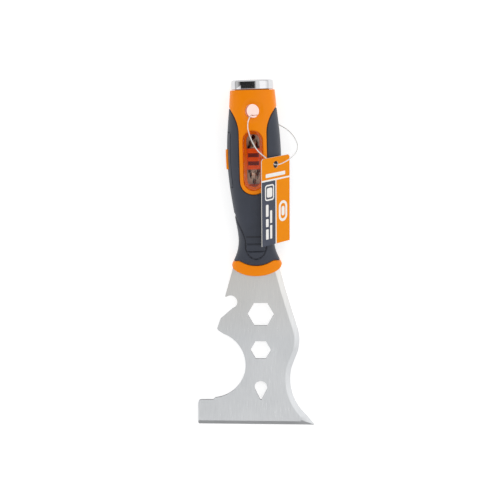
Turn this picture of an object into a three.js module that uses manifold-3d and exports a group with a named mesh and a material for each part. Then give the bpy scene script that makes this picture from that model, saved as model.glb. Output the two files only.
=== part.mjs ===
// Painter's multi tool: a steel scraper blade with a full tang, a two-shell plastic handle under a
// soft grip, a sideways bit drawer behind a clear window, a chrome hammer cap with a bit socket,
// and a card tag on a plastic loop. Millimetres, +Z up. The tool lies on its back, cap towards +Y.

import * as THREE from 'three';
import { mergeVertices } from 'three/addons/utils/BufferGeometryUtils.js';
import Module from 'manifold-3d';

const wasm = await Module();
wasm.setup();

// ---- driving dimensions ----

const GAP = 0.3;
const DEGREE = Math.PI / 180;
const FAR = 60;

// The blade plate, in the tool frame: X across, Y from the scraper edge to the cap, Z to the front.
const PLATE = 1.1;
const EDGE_HALF = 0.25;
const BLADE_LEFT = -37.6;
const TOE_X = 37.0;
const WING_TOP = 15.8;
const ROLLER = { x: -28.7, y: 38.7, r: 21.6 };
const HOOK = { x: -16.5, y: 79.3, r: 4.3 };
const BULGE = { x: 0.7, y: 55.0, r: 26.6 };
const WAIST = { x: 53.6, y: 29.8, r: 32.1 };
const SIDE_BEVEL = 3.2;
const FRONT_BEVEL = 2.3;
const HOLE_X = 2.7;
const LARGE_HEX = { y: 71.6, flats: 14.5 };
const SMALL_HEX = { y: 48.5, flats: 11.3 };
const NAIL_SLOT = { y: 24.3, r: 4.0, tip: 16.2 };

// The handle leans a little from the blade, about a point in its collar.
const PIVOT = { x: 0.45, y: 101.9 };
const LEAN = 1.4 * DEGREE;
const HANDLE_TOP = 213.0;
const HALF_WIDTH = [
  [94, 15.9], [104, 15.75], [107.8, 13.95], [112.5, 12.1], [118, 11.2], [124, 11.4], [132.5, 12.75],
  [144, 14.5], [155.3, 15.9], [168, 16.8], [180, 16.7], [190, 16.0], [200, 15.0], [213, 13.9],
];
const FRONT_DEPTH = [
  [94, 8.4], [106, 8.4], [118, 9.2], [134, 11.0], [152, 12.9], [168, 13.5], [190, 13.3], [213, 12.2],
];
const BACK_DEPTH = [
  [94, 6.0], [106, 6.4], [118, 6.9], [134, 7.9], [152, 9.3], [172, 10.4], [190, 10.3], [213, 9.6],
];
const SQUARENESS = 2.6;
const SKIN = 1.8;

// The orange panel that shows on the front and the back, and the window in the front one.
const PANEL = { half: 8.8, foot: 148.6, shoulder: 186, flare: 204 };
const LENS = { half: 6.1, low: 151.2, high: 187.9, thick: 1.0, sunk: 0.15, funnel: 11.4 };
const APERTURE = { half: 4.1, low: 153.3, high: 186.0, lip: 9.6 };

// The bit drawer slides out to the left (-X) with two double-ended bits.
const DRAWER = { low: 153.2, high: 186.8, floor: 1.7, top: 8.8, tail: 11.0, wall: 1.4 };
const BLOCK = { low: 164.0, high: 176.9, right: 5.0 };
const PLATE_X = -13.4;
const SLOTS = { places: [167.8, 172.8], half: 1.25, reach: 3.4, deep: 0.35 };
const TAB = { low: 164.3, high: 176.6, floor: 2.2, top: 6.0, proud: 0.9 };
const BIT = { flats: 6.35, z: 4.95, low: 154.9, high: 185.1, tipLength: 7.0 };
const BIT_PLACES = [0, -8.8];

// The cap, its bit socket and the pins that hold it on the tang's fork.
const CAP = { base: 213.3, top: 219.3, half: 13.3, front: 11.6, back: 9.2, rim: 1.1 };
const BOSS = { half: 10.6, depth: 6.0, low: 206.4 };
const SOCKET = { low: 206.0, outer: 5.3, flats: 6.7, depth: 11.2, z: 0 };
const MAGNET = { r: 2.7, thick: 1.2 };
const CAP_PIN = { x: 7.5, y: 209.4, r: 1.2, half: 5.0 };
const HANG_HOLE = { y: 200.0, r: 4.3, wall: 1.1, lip: 0.2, dish: 9.6, dishDepth: 1.5 };
const TANG = { half: 8.0, fork: 9.2, slot: 5.7, top: 211.2 };
const RIVET = { r: 2.0, head: 3.4, headThick: 1.0, places: [['lower', 114.5], ['upper', 141.0]] };

// The card tag leans on the right side of the handle, and a thin loop ties it to the hanging hole.
const TAG = { wide: 25.8, long: 55.0, thick: 0.5, slope: 50 * DEGREE, dip: 10 * DEGREE };
const TAG_CORNER = new THREE.Vector3(4.2, 169.4, 32.3);
const TAG_HOLE = { across: 12.9, down: 4.8, r: 2.2 };
const STRING = { r: 0.35, sides: 8, steps: 60 };
const LOCK = {
  from: new THREE.Vector3(4.75, 196.5, 1.25),
  to: new THREE.Vector3(11.6, 192.7, 1.25),
  r: 1.05,
};

// The middle of the resting tool, measured from the middle of its scraper edge.
const MIDDLE = { x: -0.3, y: 109.73 };

// ---- solids ----

function solid(geometry) {
  const bare = geometry.clone();
  bare.deleteAttribute('normal');
  bare.deleteAttribute('uv');
  const merged = mergeVertices(bare, 1e-4);
  return new wasm.Manifold(new wasm.Mesh({
    numProp: 3,
    vertProperties: new Float32Array(merged.attributes.position.array),
    triVerts: new Uint32Array(merged.index.array),
  }));
}

function geometryOf(made) {
  const mesh = made.getMesh();
  const geometry = new THREE.BufferGeometry();
  geometry.setAttribute('position', new THREE.BufferAttribute(mesh.vertProperties, 3));
  geometry.setIndex(new THREE.BufferAttribute(mesh.triVerts, 1));
  geometry.computeVertexNormals();
  return geometry;
}

function joined(first, ...others) {
  return others.reduce((sum, next) => sum.add(next), first);
}

function cut(body, ...tools) {
  return tools.reduce((rest, tool) => rest.subtract(tool), body);
}

function box(x0, x1, y0, y1, z0, z1) {
  const geometry = new THREE.BoxGeometry(x1 - x0, y1 - y0, z1 - z0);
  geometry.translate((x0 + x1) / 2, (y0 + y1) / 2, (z0 + z1) / 2);
  return solid(geometry);
}

function prism(shape, z0, z1, curveSegments = 8) {
  const geometry = new THREE.ExtrudeGeometry(shape, { depth: z1 - z0, bevelEnabled: false, curveSegments });
  geometry.translate(0, 0, z0);
  return solid(geometry);
}

// A cylinder or cone along Z, from z0 with radius r0 to z1 with radius r1.
function post(x, y, r0, r1, z0, z1, sides = 24) {
  const geometry = new THREE.CylinderGeometry(r1, r0, z1 - z0, sides);
  geometry.rotateX(Math.PI / 2);
  geometry.translate(x, y, (z0 + z1) / 2);
  return solid(geometry);
}

// A cylinder or prism along Y; six sides give a hexagon with two flats facing the front and back.
function bar(x, z, r0, r1, y0, y1, sides = 24) {
  const geometry = new THREE.CylinderGeometry(r1, r0, y1 - y0, sides);
  geometry.rotateY(Math.PI / 2);
  geometry.translate(x, (y0 + y1) / 2, z);
  return solid(geometry);
}

function hexRadius(flats) {
  return flats / Math.sqrt(3);
}

// A closed skin through rings of points that all have the same count.
function loft(rings) {
  const count = rings[0].length;
  const positions = [];
  const index = [];
  rings.forEach((ring) => ring.forEach((p) => positions.push(p.x, p.y, p.z)));
  for (let i = 0; i + 1 < rings.length; i += 1) {
    for (let j = 0; j < count; j += 1) {
      const a = i * count + j;
      const b = i * count + ((j + 1) % count);
      index.push(a, b, b + count, a, b + count, a + count);
    }
  }
  [0, rings.length - 1].forEach((end) => {
    const middle = new THREE.Vector3();
    rings[end].forEach((p) => middle.addScaledVector(p, 1 / count));
    const hub = positions.length / 3;
    positions.push(middle.x, middle.y, middle.z);
    for (let j = 0; j < count; j += 1) {
      const a = end * count + j;
      const b = end * count + ((j + 1) % count);
      index.push(...(end === 0 ? [hub, b, a] : [hub, a, b]));
    }
  });
  const geometry = new THREE.BufferGeometry();
  geometry.setAttribute('position', new THREE.Float32BufferAttribute(positions, 3));
  geometry.setIndex(index);
  return solid(geometry);
}

// A smooth curve through [place, value] pairs.
function smoothed(keys, at) {
  const last = keys.length - 1;
  const above = keys.findIndex((key) => key[0] > at);
  const i = above < 0 ? last - 1 : Math.max(0, above - 1);
  const slope = (k) => {
    const before = keys[Math.max(0, k - 1)];
    const after = keys[Math.min(last, k + 1)];
    return (after[1] - before[1]) / (after[0] - before[0]);
  };
  const [x0, v0] = keys[i];
  const [x1, v1] = keys[i + 1];
  const step = x1 - x0;
  const t = Math.min(1, Math.max(0, (at - x0) / step));
  const lead = (1 + 2 * t) * (1 - t) ** 2 * v0 + t * (1 - t) ** 2 * step * slope(i);
  return lead + t * t * (3 - 2 * t) * v1 + t * t * (t - 1) * step * slope(i + 1);
}

// ---- the handle's outer form ----

function handleRing(y, inset, sides) {
  const half = smoothed(HALF_WIDTH, y) - inset;
  const front = smoothed(FRONT_DEPTH, y) - inset;
  const back = smoothed(BACK_DEPTH, y) - inset;
  return ring(y, half, front, back, sides);
}

function ring(y, half, front, back, sides) {
  const points = [];
  for (let i = 0; i < sides; i += 1) {
    const angle = (2 * Math.PI * i) / sides;
    const c = Math.cos(angle);
    const s = Math.sin(angle);
    const x = half * Math.sign(c) * Math.abs(c) ** (2 / SQUARENESS);
    const z = (s > 0 ? back : front) * Math.sign(s) * Math.abs(s) ** (2 / SQUARENESS);
    points.push(new THREE.Vector3(x, y, -z));
  }
  return points;
}

function handleForm(inset, low = 95, high = HANDLE_TOP) {
  const rings = [];
  const steps = 17;
  for (let i = 0; i <= steps; i += 1) {
    rings.push(handleRing(low + ((high - low) * i) / steps, inset, 28));
  }
  return loft(rings);
}

// ---- outlines in the handle's plane ----

function polygon(points) {
  return new THREE.Shape(points.map(([x, y]) => new THREE.Vector2(x, y)));
}

// The panel: a flared top across the whole handle, straight flanks and a round foot.
function panelShape(grow) {
  const half = PANEL.half + grow;
  const shape = new THREE.Shape();
  shape.moveTo(-FAR, PANEL.flare + 2 - grow);
  shape.lineTo(-16, PANEL.flare - grow);
  shape.bezierCurveTo(-12.5, 199 - grow, -half, 194, -half, PANEL.shoulder);
  shape.lineTo(-half, PANEL.foot + 9);
  shape.bezierCurveTo(-half, PANEL.foot + 3, -5, PANEL.foot - grow, 0, PANEL.foot - grow);
  shape.bezierCurveTo(5, PANEL.foot - grow, half, PANEL.foot + 3, half, PANEL.foot + 9);
  shape.lineTo(half, PANEL.shoulder);
  shape.bezierCurveTo(half, 194, 12.5, 199 - grow, 16, PANEL.flare - grow);
  shape.lineTo(FAR, PANEL.flare + 2 - grow);
  shape.lineTo(FAR, 240);
  shape.lineTo(-FAR, 240);
  return shape;
}

function stadium(half, low, high) {
  const shape = new THREE.Shape();
  shape.absarc(0, high - half, half, 0, Math.PI, false);
  shape.absarc(0, low + half, half, Math.PI, 2 * Math.PI, false);
  return shape;
}

// Everything below the line where the grip ends and the collar shows.
function collarShape(grow) {
  const rise = [[-15.7, 105.9], [-11.3, 106.5], [-7.5, 104.9], [-3.6, 103.8], [0, 103.5]];
  const left = rise.map(([x, y]) => [x, y + grow]);
  const right = left.slice(0, -1).reverse().map(([x, y]) => [-x, y]);
  const shoulder = 105.4 + grow;
  return polygon([[-FAR, 85], [-FAR, shoulder], ...left, ...right, [FAR, shoulder], [FAR, 85]].reverse());
}

// Everything above the collar's smiling lower edge.
function aboveCollar() {
  const left = [[-FAR, 104.2], [-15.9, 103.4], [-14.7, 101.2], [-11.3, 99.2], [-5.9, 97.5], [0, 97.0]];
  const right = left.slice(0, -1).reverse().map(([x, y]) => [-x, y]);
  return prism(polygon([...left, ...right, [FAR, 240], [-FAR, 240]]), -FAR, FAR);
}

// ---- blade and tang ----

function bladeShape() {
  const shape = new THREE.Shape();
  shape.moveTo(BLADE_LEFT, 0.6);
  shape.lineTo(BLADE_LEFT + 0.6, 0);
  shape.lineTo(TOE_X, 0);
  shape.lineTo(32.4, 5.7);
  shape.absarc(WAIST.x, WAIST.y, WAIST.r, -131.5 * DEGREE, -194 * DEGREE, true);
  shape.quadraticCurveTo(24.4, 43, 26.5, 48.3);
  shape.absarc(BULGE.x, BULGE.y, BULGE.r, -14 * DEGREE, 19 * DEGREE, false);
  shape.lineTo(22.9, 73);
  shape.lineTo(18.8, 86.2);
  shape.lineTo(14.8, 100.8);
  shape.lineTo(-15.0, 100.8);
  shape.lineTo(-19.9, 83.2);
  shape.lineTo(-19.7, 82.4);
  shape.absarc(HOOK.x, HOOK.y, HOOK.r, 105 * DEGREE, -72 * DEGREE, true);
  shape.lineTo(-23.0, 68.5);
  shape.lineTo(-25.2, 62.3);
  shape.lineTo(-24.6, 61.2);
  shape.absarc(ROLLER.x, ROLLER.y, ROLLER.r, 70 * DEGREE, -84 * DEGREE, true);
  shape.lineTo(-28, WING_TOP);
  shape.lineTo(BLADE_LEFT + 2.4, WING_TOP);
  shape.quadraticCurveTo(BLADE_LEFT, WING_TOP, BLADE_LEFT, WING_TOP - 2.6);
  return shape;
}

// A hexagon with corners to the left and right.
function hexHole(x, y, flats) {
  const r = hexRadius(flats);
  const turns = [0, 60, 120, 180, 240, 300].map((turn) => turn * DEGREE);
  return prism(polygon(turns.map((t) => [x + r * Math.cos(t), y + r * Math.sin(t)])), -FAR, FAR);
}

function nailSlot() {
  const shape = new THREE.Shape();
  shape.absarc(HOLE_X, NAIL_SLOT.y, NAIL_SLOT.r, -28 * DEGREE, 208 * DEGREE, false);
  shape.lineTo(HOLE_X - 0.5, NAIL_SLOT.tip);
  shape.lineTo(HOLE_X + 0.5, NAIL_SLOT.tip);
  return prism(shape, -FAR, FAR);
}

// A wedge along an edge line: it takes the plate down to a thin edge on one face.
function bevelCutter(edge, inward, width, face) {
  const reach = 0.3;
  const rings = edge.map((p, i) => {
    const rise = PLATE - EDGE_HALF;
    const out = p.clone().addScaledVector(inward[i], -reach * width);
    const deep = p.clone().addScaledVector(inward[i], (1 + reach) * width);
    const low = EDGE_HALF - reach * rise;
    const high = PLATE + reach * rise;
    const corners = [[out, low], [deep, high], [out, high]];
    return corners.map(([q, z]) => new THREE.Vector3(q.x, q.y, face * z));
  });
  return loft(face > 0 ? rings : rings.reverse());
}

// Points of the right-hand edge, from the toe up into the collar, with their inward directions.
function rightEdge() {
  const outline = bladeShape().getPoints(6);
  const start = outline.findIndex((p) => p.x === TOE_X);
  const end = outline.findIndex((p, i) => i > start && p.y > 100);
  const edge = outline.slice(start, end + 1).filter((p, i, all) => i === 0 || p.distanceTo(all[i - 1]) > 0.4);
  const tops = edge[edge.length - 1].clone().add(new THREE.Vector2(-0.6, 2.2));
  edge.push(tops);
  const inward = edge.map((p, i) => {
    const before = edge[Math.max(0, i - 1)];
    const after = edge[Math.min(edge.length - 1, i + 1)];
    const along = after.clone().sub(before).normalize();
    return new THREE.Vector2(-along.y, along.x);
  });
  inward[0] = new THREE.Vector2(-1, 0.35).normalize();
  return { edge, inward };
}

// The tang, in handle coordinates: a strip with a forked top that passes both sides of the socket.
function tangShape(grow) {
  const half = TANG.half + grow;
  const fork = TANG.fork + grow;
  const slot = TANG.slot - grow;
  const hole = HANG_HOLE.r + HANG_HOLE.wall - grow;
  const mouth = Math.sqrt(Math.max(0, hole ** 2 - slot ** 2));
  const rise = mouth > 0 ? mouth : 0.5;
  return polygon([
    [-half, 98], [half, 98], [half, 190], [fork, 196], [fork, TANG.top + grow], [slot, TANG.top + grow],
    [slot, HANG_HOLE.y + rise], [-slot, HANG_HOLE.y + rise], [-slot, TANG.top + grow],
    [-fork, TANG.top + grow], [-fork, 196], [-half, 190],
  ]);
}

function leaned(geometryMade) {
  const geometry = geometryOf(geometryMade);
  geometry.translate(0, -PIVOT.y, 0);
  geometry.rotateZ(LEAN);
  geometry.translate(PIVOT.x, PIVOT.y, 0);
  return solid(geometry);
}

function bladeWithTang() {
  const { edge, inward } = rightEdge();
  const front = [new THREE.Vector2(BLADE_LEFT - 4, 0), new THREE.Vector2(TOE_X + 6, 0)];
  const up = [new THREE.Vector2(0, 1), new THREE.Vector2(0, 1)];
  const plate = cut(
    prism(bladeShape(), -PLATE, PLATE, 12),
    hexHole(HOLE_X, LARGE_HEX.y, LARGE_HEX.flats),
    hexHole(HOLE_X, SMALL_HEX.y, SMALL_HEX.flats),
    nailSlot(),
    bevelCutter(edge, inward, SIDE_BEVEL, 1),
    bevelCutter(edge, inward, SIDE_BEVEL, -1),
    bevelCutter(front, up, FRONT_BEVEL, 1),
    bevelCutter(front, up, FRONT_BEVEL, -1),
  );
  const rivetHoles = RIVET.places.map(([, y]) => post(0, y, RIVET.r + GAP, RIVET.r + GAP, -FAR, FAR));
  const pin = CAP_PIN.r + GAP;
  const pinHoles = [-1, 1].map((side) => post(side * CAP_PIN.x, CAP_PIN.y, pin, pin, -FAR, FAR, 16));
  const clear = HANG_HOLE.r + HANG_HOLE.wall;
  const hole = post(0, HANG_HOLE.y, clear, clear, -FAR, FAR, 32);
  const tang = cut(prism(tangShape(0), -PLATE, PLATE), ...rivetHoles, ...pinHoles, hole);
  return plate.add(leaned(tang));
}

// ---- the two core shells and the grip ----

function tangPocket() {
  const neck = polygon([[-15.4, 90], [15.4, 90], [15.4, 101.2], [9, 102], [-9, 102], [-15.4, 101.2]]);
  return joined(prism(tangShape(GAP), -PLATE - GAP, PLATE + GAP), prism(neck, -PLATE - GAP, PLATE + GAP));
}

function coreBody() {
  const shown = joined(
    handleForm(SKIN + GAP),
    prism(panelShape(0), -FAR, FAR),
    prism(collarShape(0), -FAR, FAR),
  );
  const small = HANG_HOLE.r + HANG_HOLE.lip;
  const front = smoothed(FRONT_DEPTH, HANG_HOLE.y);
  const back = smoothed(BACK_DEPTH, HANG_HOLE.y);
  const deep = HANG_HOLE.dishDepth;
  const dish = [
    post(0, HANG_HOLE.y, small, HANG_HOLE.dish, front - deep, front + deep, 32),
    post(0, HANG_HOLE.y, HANG_HOLE.dish, small, -back - deep, -back + deep, 32),
  ];
  return cut(
    handleForm(0).intersect(aboveCollar()).intersect(shown),
    post(0, HANG_HOLE.y, HANG_HOLE.r, HANG_HOLE.r, -FAR, FAR, 32),
    ...dish,
    tangPocket(),
    box(-BOSS.half - GAP, BOSS.half + GAP, BOSS.low - GAP, 230, -BOSS.depth - GAP, BOSS.depth + GAP),
    bar(0, SOCKET.z, SOCKET.outer + GAP, SOCKET.outer + GAP, SOCKET.low - GAP, 230, 32),
    ...RIVET.places.flatMap(([, y]) => rivetParts(y, GAP)),
  );
}

function rivetParts(y, grow) {
  const front = smoothed(FRONT_DEPTH, y) - SKIN - GAP - 0.4;
  const back = smoothed(BACK_DEPTH, y) - SKIN - GAP - 0.4;
  const head = RIVET.head + grow;
  const open = grow > 0 ? 3 : 0;
  return [
    post(0, y, RIVET.r + grow, RIVET.r + grow, -back, front),
    post(0, y, head, head, front - RIVET.headThick - grow, front + open),
    post(0, y, head, head, -back - open, -back + RIVET.headThick + grow),
  ];
}

function drawerCavity() {
  const { low, high, floor, top, tail } = DRAWER;
  const end = tail + GAP + 0.1;
  const channel = box(-FAR, end, low - GAP, high + GAP, floor - GAP, top + GAP);
  const lugTracks = box(PLATE_X + 1.2, end, low - 1.9, high + 1.9, floor - GAP, 3.5);
  const springRoom = box(tail, 13.2, 164.5, 176.5, floor, 6.5);
  return joined(channel, lugTracks, springRoom);
}

// A seat for the lens, with a funnel below it that narrows to the opening over the bits.
function windowCut() {
  const seat = prism(stadium(LENS.half + GAP, LENS.low - GAP, LENS.high + GAP), 0, FAR, 16);
  const throughSkin = cut(seat, handleForm(LENS.thick + LENS.sunk + GAP));
  const throat = prism(stadium(APERTURE.half, APERTURE.low, APERTURE.high), DRAWER.top, FAR, 16);
  const funnel = loft([
    stadiumRing(APERTURE.half, APERTURE.low, APERTURE.high, APERTURE.lip),
    stadiumRing(LENS.half - 0.5, LENS.low + 0.5, LENS.high - 0.5, LENS.funnel),
    stadiumRing(LENS.half - 0.5, LENS.low + 0.5, LENS.high - 0.5, LENS.funnel + 3),
  ]);
  return joined(throughSkin, throat, funnel);
}

function stadiumRing(half, low, high, z) {
  return stadium(half, low, high).getPoints(10).map((p) => new THREE.Vector3(p.x, p.y, z));
}

function coreFront(core) {
  return cut(core.intersect(box(-FAR, FAR, 80, 240, GAP / 2, FAR)), drawerCavity(), windowCut());
}

function coreBack(core) {
  return core.intersect(box(-FAR, FAR, 80, 240, -FAR, -GAP / 2));
}

function gripOvermould() {
  const { low, high, floor, top } = DRAWER;
  const clear = 2 * GAP;
  return cut(
    handleForm(0),
    handleForm(SKIN, 90, HANDLE_TOP + 3),
    prism(panelShape(GAP), -FAR, FAR),
    prism(collarShape(GAP), -FAR, FAR),
    box(-FAR, -8, low - clear, high + clear, floor - clear, top + clear),
  );
}

function windowLens() {
  const plug = prism(stadium(LENS.half, LENS.low, LENS.high), 0, FAR, 16);
  return plug.intersect(handleForm(LENS.sunk)).subtract(handleForm(LENS.sunk + LENS.thick));
}

// ---- the drawer and its bits ----

function bitDrawer() {
  const { low, high, floor, top, tail, wall } = DRAWER;
  const behindPad = handleForm(SKIN);
  const face = box(-FAR, PLATE_X + wall, low, high, floor, top);
  const tab = box(-FAR, PLATE_X + wall, TAB.low, TAB.high, TAB.floor, TAB.top);
  const flank = tab.intersect(handleForm(-TAB.proud));
  const rails = [low, high - wall].map((y) => box(PLATE_X, tail, y, y + wall, floor, 4.0));
  const lugs = box(tail - 1.8, tail, low - 1.5, high + 1.5, floor, 2.9);
  const end = box(tail - wall, tail, low, high, floor, 6.0);
  const block = box(PLATE_X, BLOCK.right, BLOCK.low, BLOCK.high, floor, top);
  const r = hexRadius(BIT.flats + 2 * GAP);
  const bores = BIT_PLACES.map((x) => bar(x, BIT.z, r, r, 160, 180, 6));
  const { half, reach, deep } = SLOTS;
  const slots = SLOTS.places.map((y) => box(-reach, reach, y - half, y + half, top - deep, top + 1));
  const inside = joined(face, ...rails, lugs, end, block).intersect(behindPad);
  return cut(inside.add(flank), ...bores, ...slots);
}

function drawerFacePad() {
  const { low, high, floor, top } = DRAWER;
  return cut(
    box(-FAR, -8, low, high, floor, top).intersect(handleForm(0)),
    handleForm(SKIN - GAP),
    box(-FAR, 0, TAB.low - GAP, TAB.high + GAP, TAB.floor - GAP, TAB.top + GAP),
  );
}

function hexShank(x) {
  const r = hexRadius(BIT.flats);
  return bar(x, BIT.z, r, r, BIT.low + BIT.tipLength, BIT.high - BIT.tipLength, 6);
}

// A cross tip is a round neck that tapers to a point between four flutes.
function phillipsTip(x, end, outward) {
  const root = end - outward * (BIT.tipLength + 0.2);
  const shoulder = end - outward * 4.2;
  const lift = (y0, y1, r0, r1) => (
    outward > 0 ? bar(x, BIT.z, r0, r1, y0, y1, 20) : bar(x, BIT.z, r1, r0, y1, y0, 20)
  );
  const neck = lift(root, shoulder, 3.0, 2.7);
  const cone = lift(shoulder - outward * 0.01, end, 2.7, 0.6);
  const flutes = [45, 135, 225, 315].map((turn) => {
    const flute = new THREE.BoxGeometry(2.6, 6, 2.6);
    flute.translate(2.15, 0, 0);
    flute.rotateZ(outward * -14 * DEGREE);
    flute.rotateY(turn * DEGREE);
    flute.translate(x, end - outward * 1.2, BIT.z);
    return solid(flute);
  });
  return cut(neck.add(cone), ...flutes);
}

// A slotted tip is a round neck ground to a flat blade.
function slottedTip(x, end, outward, wide) {
  const root = end - outward * (BIT.tipLength + 0.2);
  const [y0, y1] = outward > 0 ? [root, end] : [end, root];
  const neck = bar(x, BIT.z, wide, wide, y0, y1, 20);
  const sides = [1, -1].map((side) => {
    const grind = new THREE.BoxGeometry(12, 9, 4);
    grind.translate(0, 0, 2);
    grind.rotateX(-side * outward * 16 * DEGREE);
    grind.scale(1, 1, side);
    grind.translate(x, end, BIT.z + side * 0.55);
    return grind;
  });
  const [upper, lower] = sides.map((grind, i) => (i === 0 ? solid(grind) : mirroredSolid(grind)));
  return cut(neck, upper, lower);
}

// A mirrored geometry has its faces inside out, so its triangles are turned round again.
function mirroredSolid(geometry) {
  const index = geometry.index.array;
  for (let i = 0; i < index.length; i += 3) {
    [index[i], index[i + 1]] = [index[i + 1], index[i]];
  }
  return solid(geometry);
}

function phillipsBit() {
  const x = BIT_PLACES[0];
  return joined(hexShank(x), phillipsTip(x, BIT.high, 1), phillipsTip(x, BIT.low, -1));
}

function slottedBit() {
  const x = BIT_PLACES[1];
  return joined(hexShank(x), slottedTip(x, BIT.high, 1, 3.0), slottedTip(x, BIT.low, -1, 2.3));
}

// A bowed leaf that presses on the drawer's tail from the closed end of its channel.
function detentSpring() {
  const thick = 0.35;
  const points = [];
  const steps = 10;
  for (let i = 0; i <= steps; i += 1) {
    const t = i / steps;
    points.push([12.85 - 1.45 * Math.sin(Math.PI * t), 165 + 11 * t]);
  }
  const inner = points.map(([x, y]) => [x + thick, y]).reverse();
  return prism(polygon([...inner, ...points]), DRAWER.floor + GAP, 6.0);
}

// ---- cap, socket, pins ----

function hammerCap() {
  const { base, top, rim, half, front, back } = CAP;
  const sections = [
    [base, 0.5], [base + 0.6, 0], [top - rim - 0.4, 0.05], [top - rim * 0.45, 0.35],
    [top - rim * 0.1, 0.9], [top, 1.5],
  ];
  const rings = sections.map(([y, inset]) => ring(y, half - inset, front - inset, back - inset, 40));
  const head = loft(rings);
  const boss = box(-BOSS.half, BOSS.half, BOSS.low, CAP.base + 0.5, -BOSS.depth, BOSS.depth);
  const clear = SOCKET.outer + GAP;
  return cut(
    head.add(boss),
    bar(0, SOCKET.z, clear, clear, 200, 230, 32),
    forkPocket(),
    ...capPins(GAP),
  );
}

function forkPocket() {
  const inner = SOCKET.outer - 1;
  const outer = TANG.fork + GAP;
  const top = TANG.top + GAP;
  return joined(
    box(-outer, -inner, 200, top, -PLATE - GAP, PLATE + GAP),
    box(inner, outer, 200, top, -PLATE - GAP, PLATE + GAP),
  );
}

function capPins(grow) {
  const half = CAP_PIN.half + (grow > 0 ? 3 : 0);
  const r = CAP_PIN.r + grow;
  return [-1, 1].map((side) => post(side * CAP_PIN.x, CAP_PIN.y, r, r, -half, half, 16));
}

function bitSocket() {
  const r = hexRadius(SOCKET.flats);
  const seat = MAGNET.r + GAP;
  const mouth = CAP.top - 0.15;
  return cut(
    bar(0, SOCKET.z, SOCKET.outer, SOCKET.outer, SOCKET.low, mouth, 32),
    bar(0, SOCKET.z, r, r, mouth - SOCKET.depth, 230, 6),
    bar(0, SOCKET.z, r, r + 0.9, mouth - 0.9, mouth + 0.01, 6),
    bar(0, SOCKET.z, seat, seat, SOCKET.low + 0.3, mouth - SOCKET.depth + 0.1, 24),
  );
}

function socketMagnet() {
  const base = SOCKET.low + 0.3 + GAP;
  return bar(0, SOCKET.z, MAGNET.r, MAGNET.r, base, base + MAGNET.thick, 24);
}

// ---- tag and string, in the resting frame ----

// The card slopes down to its right and dips a little towards the blade.
const tagTurn = new THREE.Matrix4()
  .makeRotationX(TAG.dip)
  .multiply(new THREE.Matrix4().makeRotationY(TAG.slope));

function swingTag() {
  const corner = 1.2;
  const outline = new THREE.Shape();
  outline.moveTo(corner, 0);
  outline.lineTo(0, -corner);
  outline.lineTo(0, -TAG.long);
  outline.lineTo(TAG.wide, -TAG.long);
  outline.lineTo(TAG.wide, -corner);
  outline.lineTo(TAG.wide - corner, 0);
  const hole = post(TAG_HOLE.across, -TAG_HOLE.down, TAG_HOLE.r, TAG_HOLE.r, -FAR, FAR, 20);
  const card = cut(prism(outline, -TAG.thick / 2, TAG.thick / 2), hole);
  const geometry = geometryOf(card);
  geometry.applyMatrix4(tagTurn);
  geometry.translate(TAG_CORNER.x, TAG_CORNER.y, TAG_CORNER.z);
  return geometry;
}

// The loop leaves the right end of its lock under the handle, rises past the handle's right side,
// comes down over the card, goes back through the punched hole, runs up the front of the handle,
// passes down the hanging hole and ends in the left end of the lock.
const STRING_ROUTE = [
  [11.86, 192.55, 1.25], [14.6, 191.1, 1.5], [17.6, 189.4, 2.6], [20.3, 187.4, 4.6],
  [22.8, 184.8, 7.1], [24.9, 181.4, 9.9], [26, 177.8, 12.8], [25.3, 174.4, 15.8],
  [23.1, 171.5, 18.6], [20.2, 169.1, 21], [17.3, 167.4, 22.8], [15, 166.5, 23.5],
  [13.4, 166.2, 23], [12.3, 166.3, 22.1], [11.2, 166.8, 21.85], [9.9, 167.7, 22.5],
  [8, 169.2, 23.75], [5.6, 171.2, 24.8], [3.2, 173.2, 25.2], [1, 175.6, 25.3],
  [-1, 178.8, 25.4], [-2.5, 182, 25.5], [-3.7, 185.4, 25.6], [-4.4, 188.8, 25.9],
  [-4.35, 191.6, 26.2], [-3.9, 193.6, 26.1], [-3.2, 195.3, 25.2], [-2.65, 196.4, 23.2],
  [-2.45, 196.8, 19.5], [-2.3, 196.9, 13], [-2, 196.95, 6], [-1.3, 197.2, 2.7],
  [0.3, 197.5, 1.3], [2.4, 197.35, 1.1], [4.49, 196.65, 1.25],
].map(([x, y, z]) => new THREE.Vector3(x, y, z));

function tagString() {
  const route = new THREE.CatmullRomCurve3(STRING_ROUTE, false, 'centripetal');
  const section = new THREE.Shape();
  section.absarc(0, 0, STRING.r, 0, 2 * Math.PI, false);
  return new THREE.ExtrudeGeometry(section, {
    steps: STRING.steps,
    curveSegments: STRING.sides / 2,
    extrudePath: route,
    bevelEnabled: false,
  });
}

// The lock is a small bullet with a shoulder at each end.
function stringLock() {
  const along = LOCK.to.clone().sub(LOCK.from);
  const long = along.length();
  const profile = [[0, 0], [0.6, 0], [LOCK.r, 0.9], [LOCK.r, long - 1.6], [0.7, long], [0, long]];
  const geometry = new THREE.LatheGeometry(profile.map(([x, y]) => new THREE.Vector2(x, y)), 16);
  const turn = new THREE.Quaternion().setFromUnitVectors(new THREE.Vector3(0, 1, 0), along.normalize());
  geometry.applyQuaternion(turn);
  geometry.translate(LOCK.from.x, LOCK.from.y, LOCK.from.z);
  return geometry;
}

// ---- materials ----

function paint(color, roughness, metalness = 0, opacity = 1) {
  return new THREE.MeshStandardMaterial({ color, roughness, metalness, opacity, transparent: opacity < 1 });
}

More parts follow.
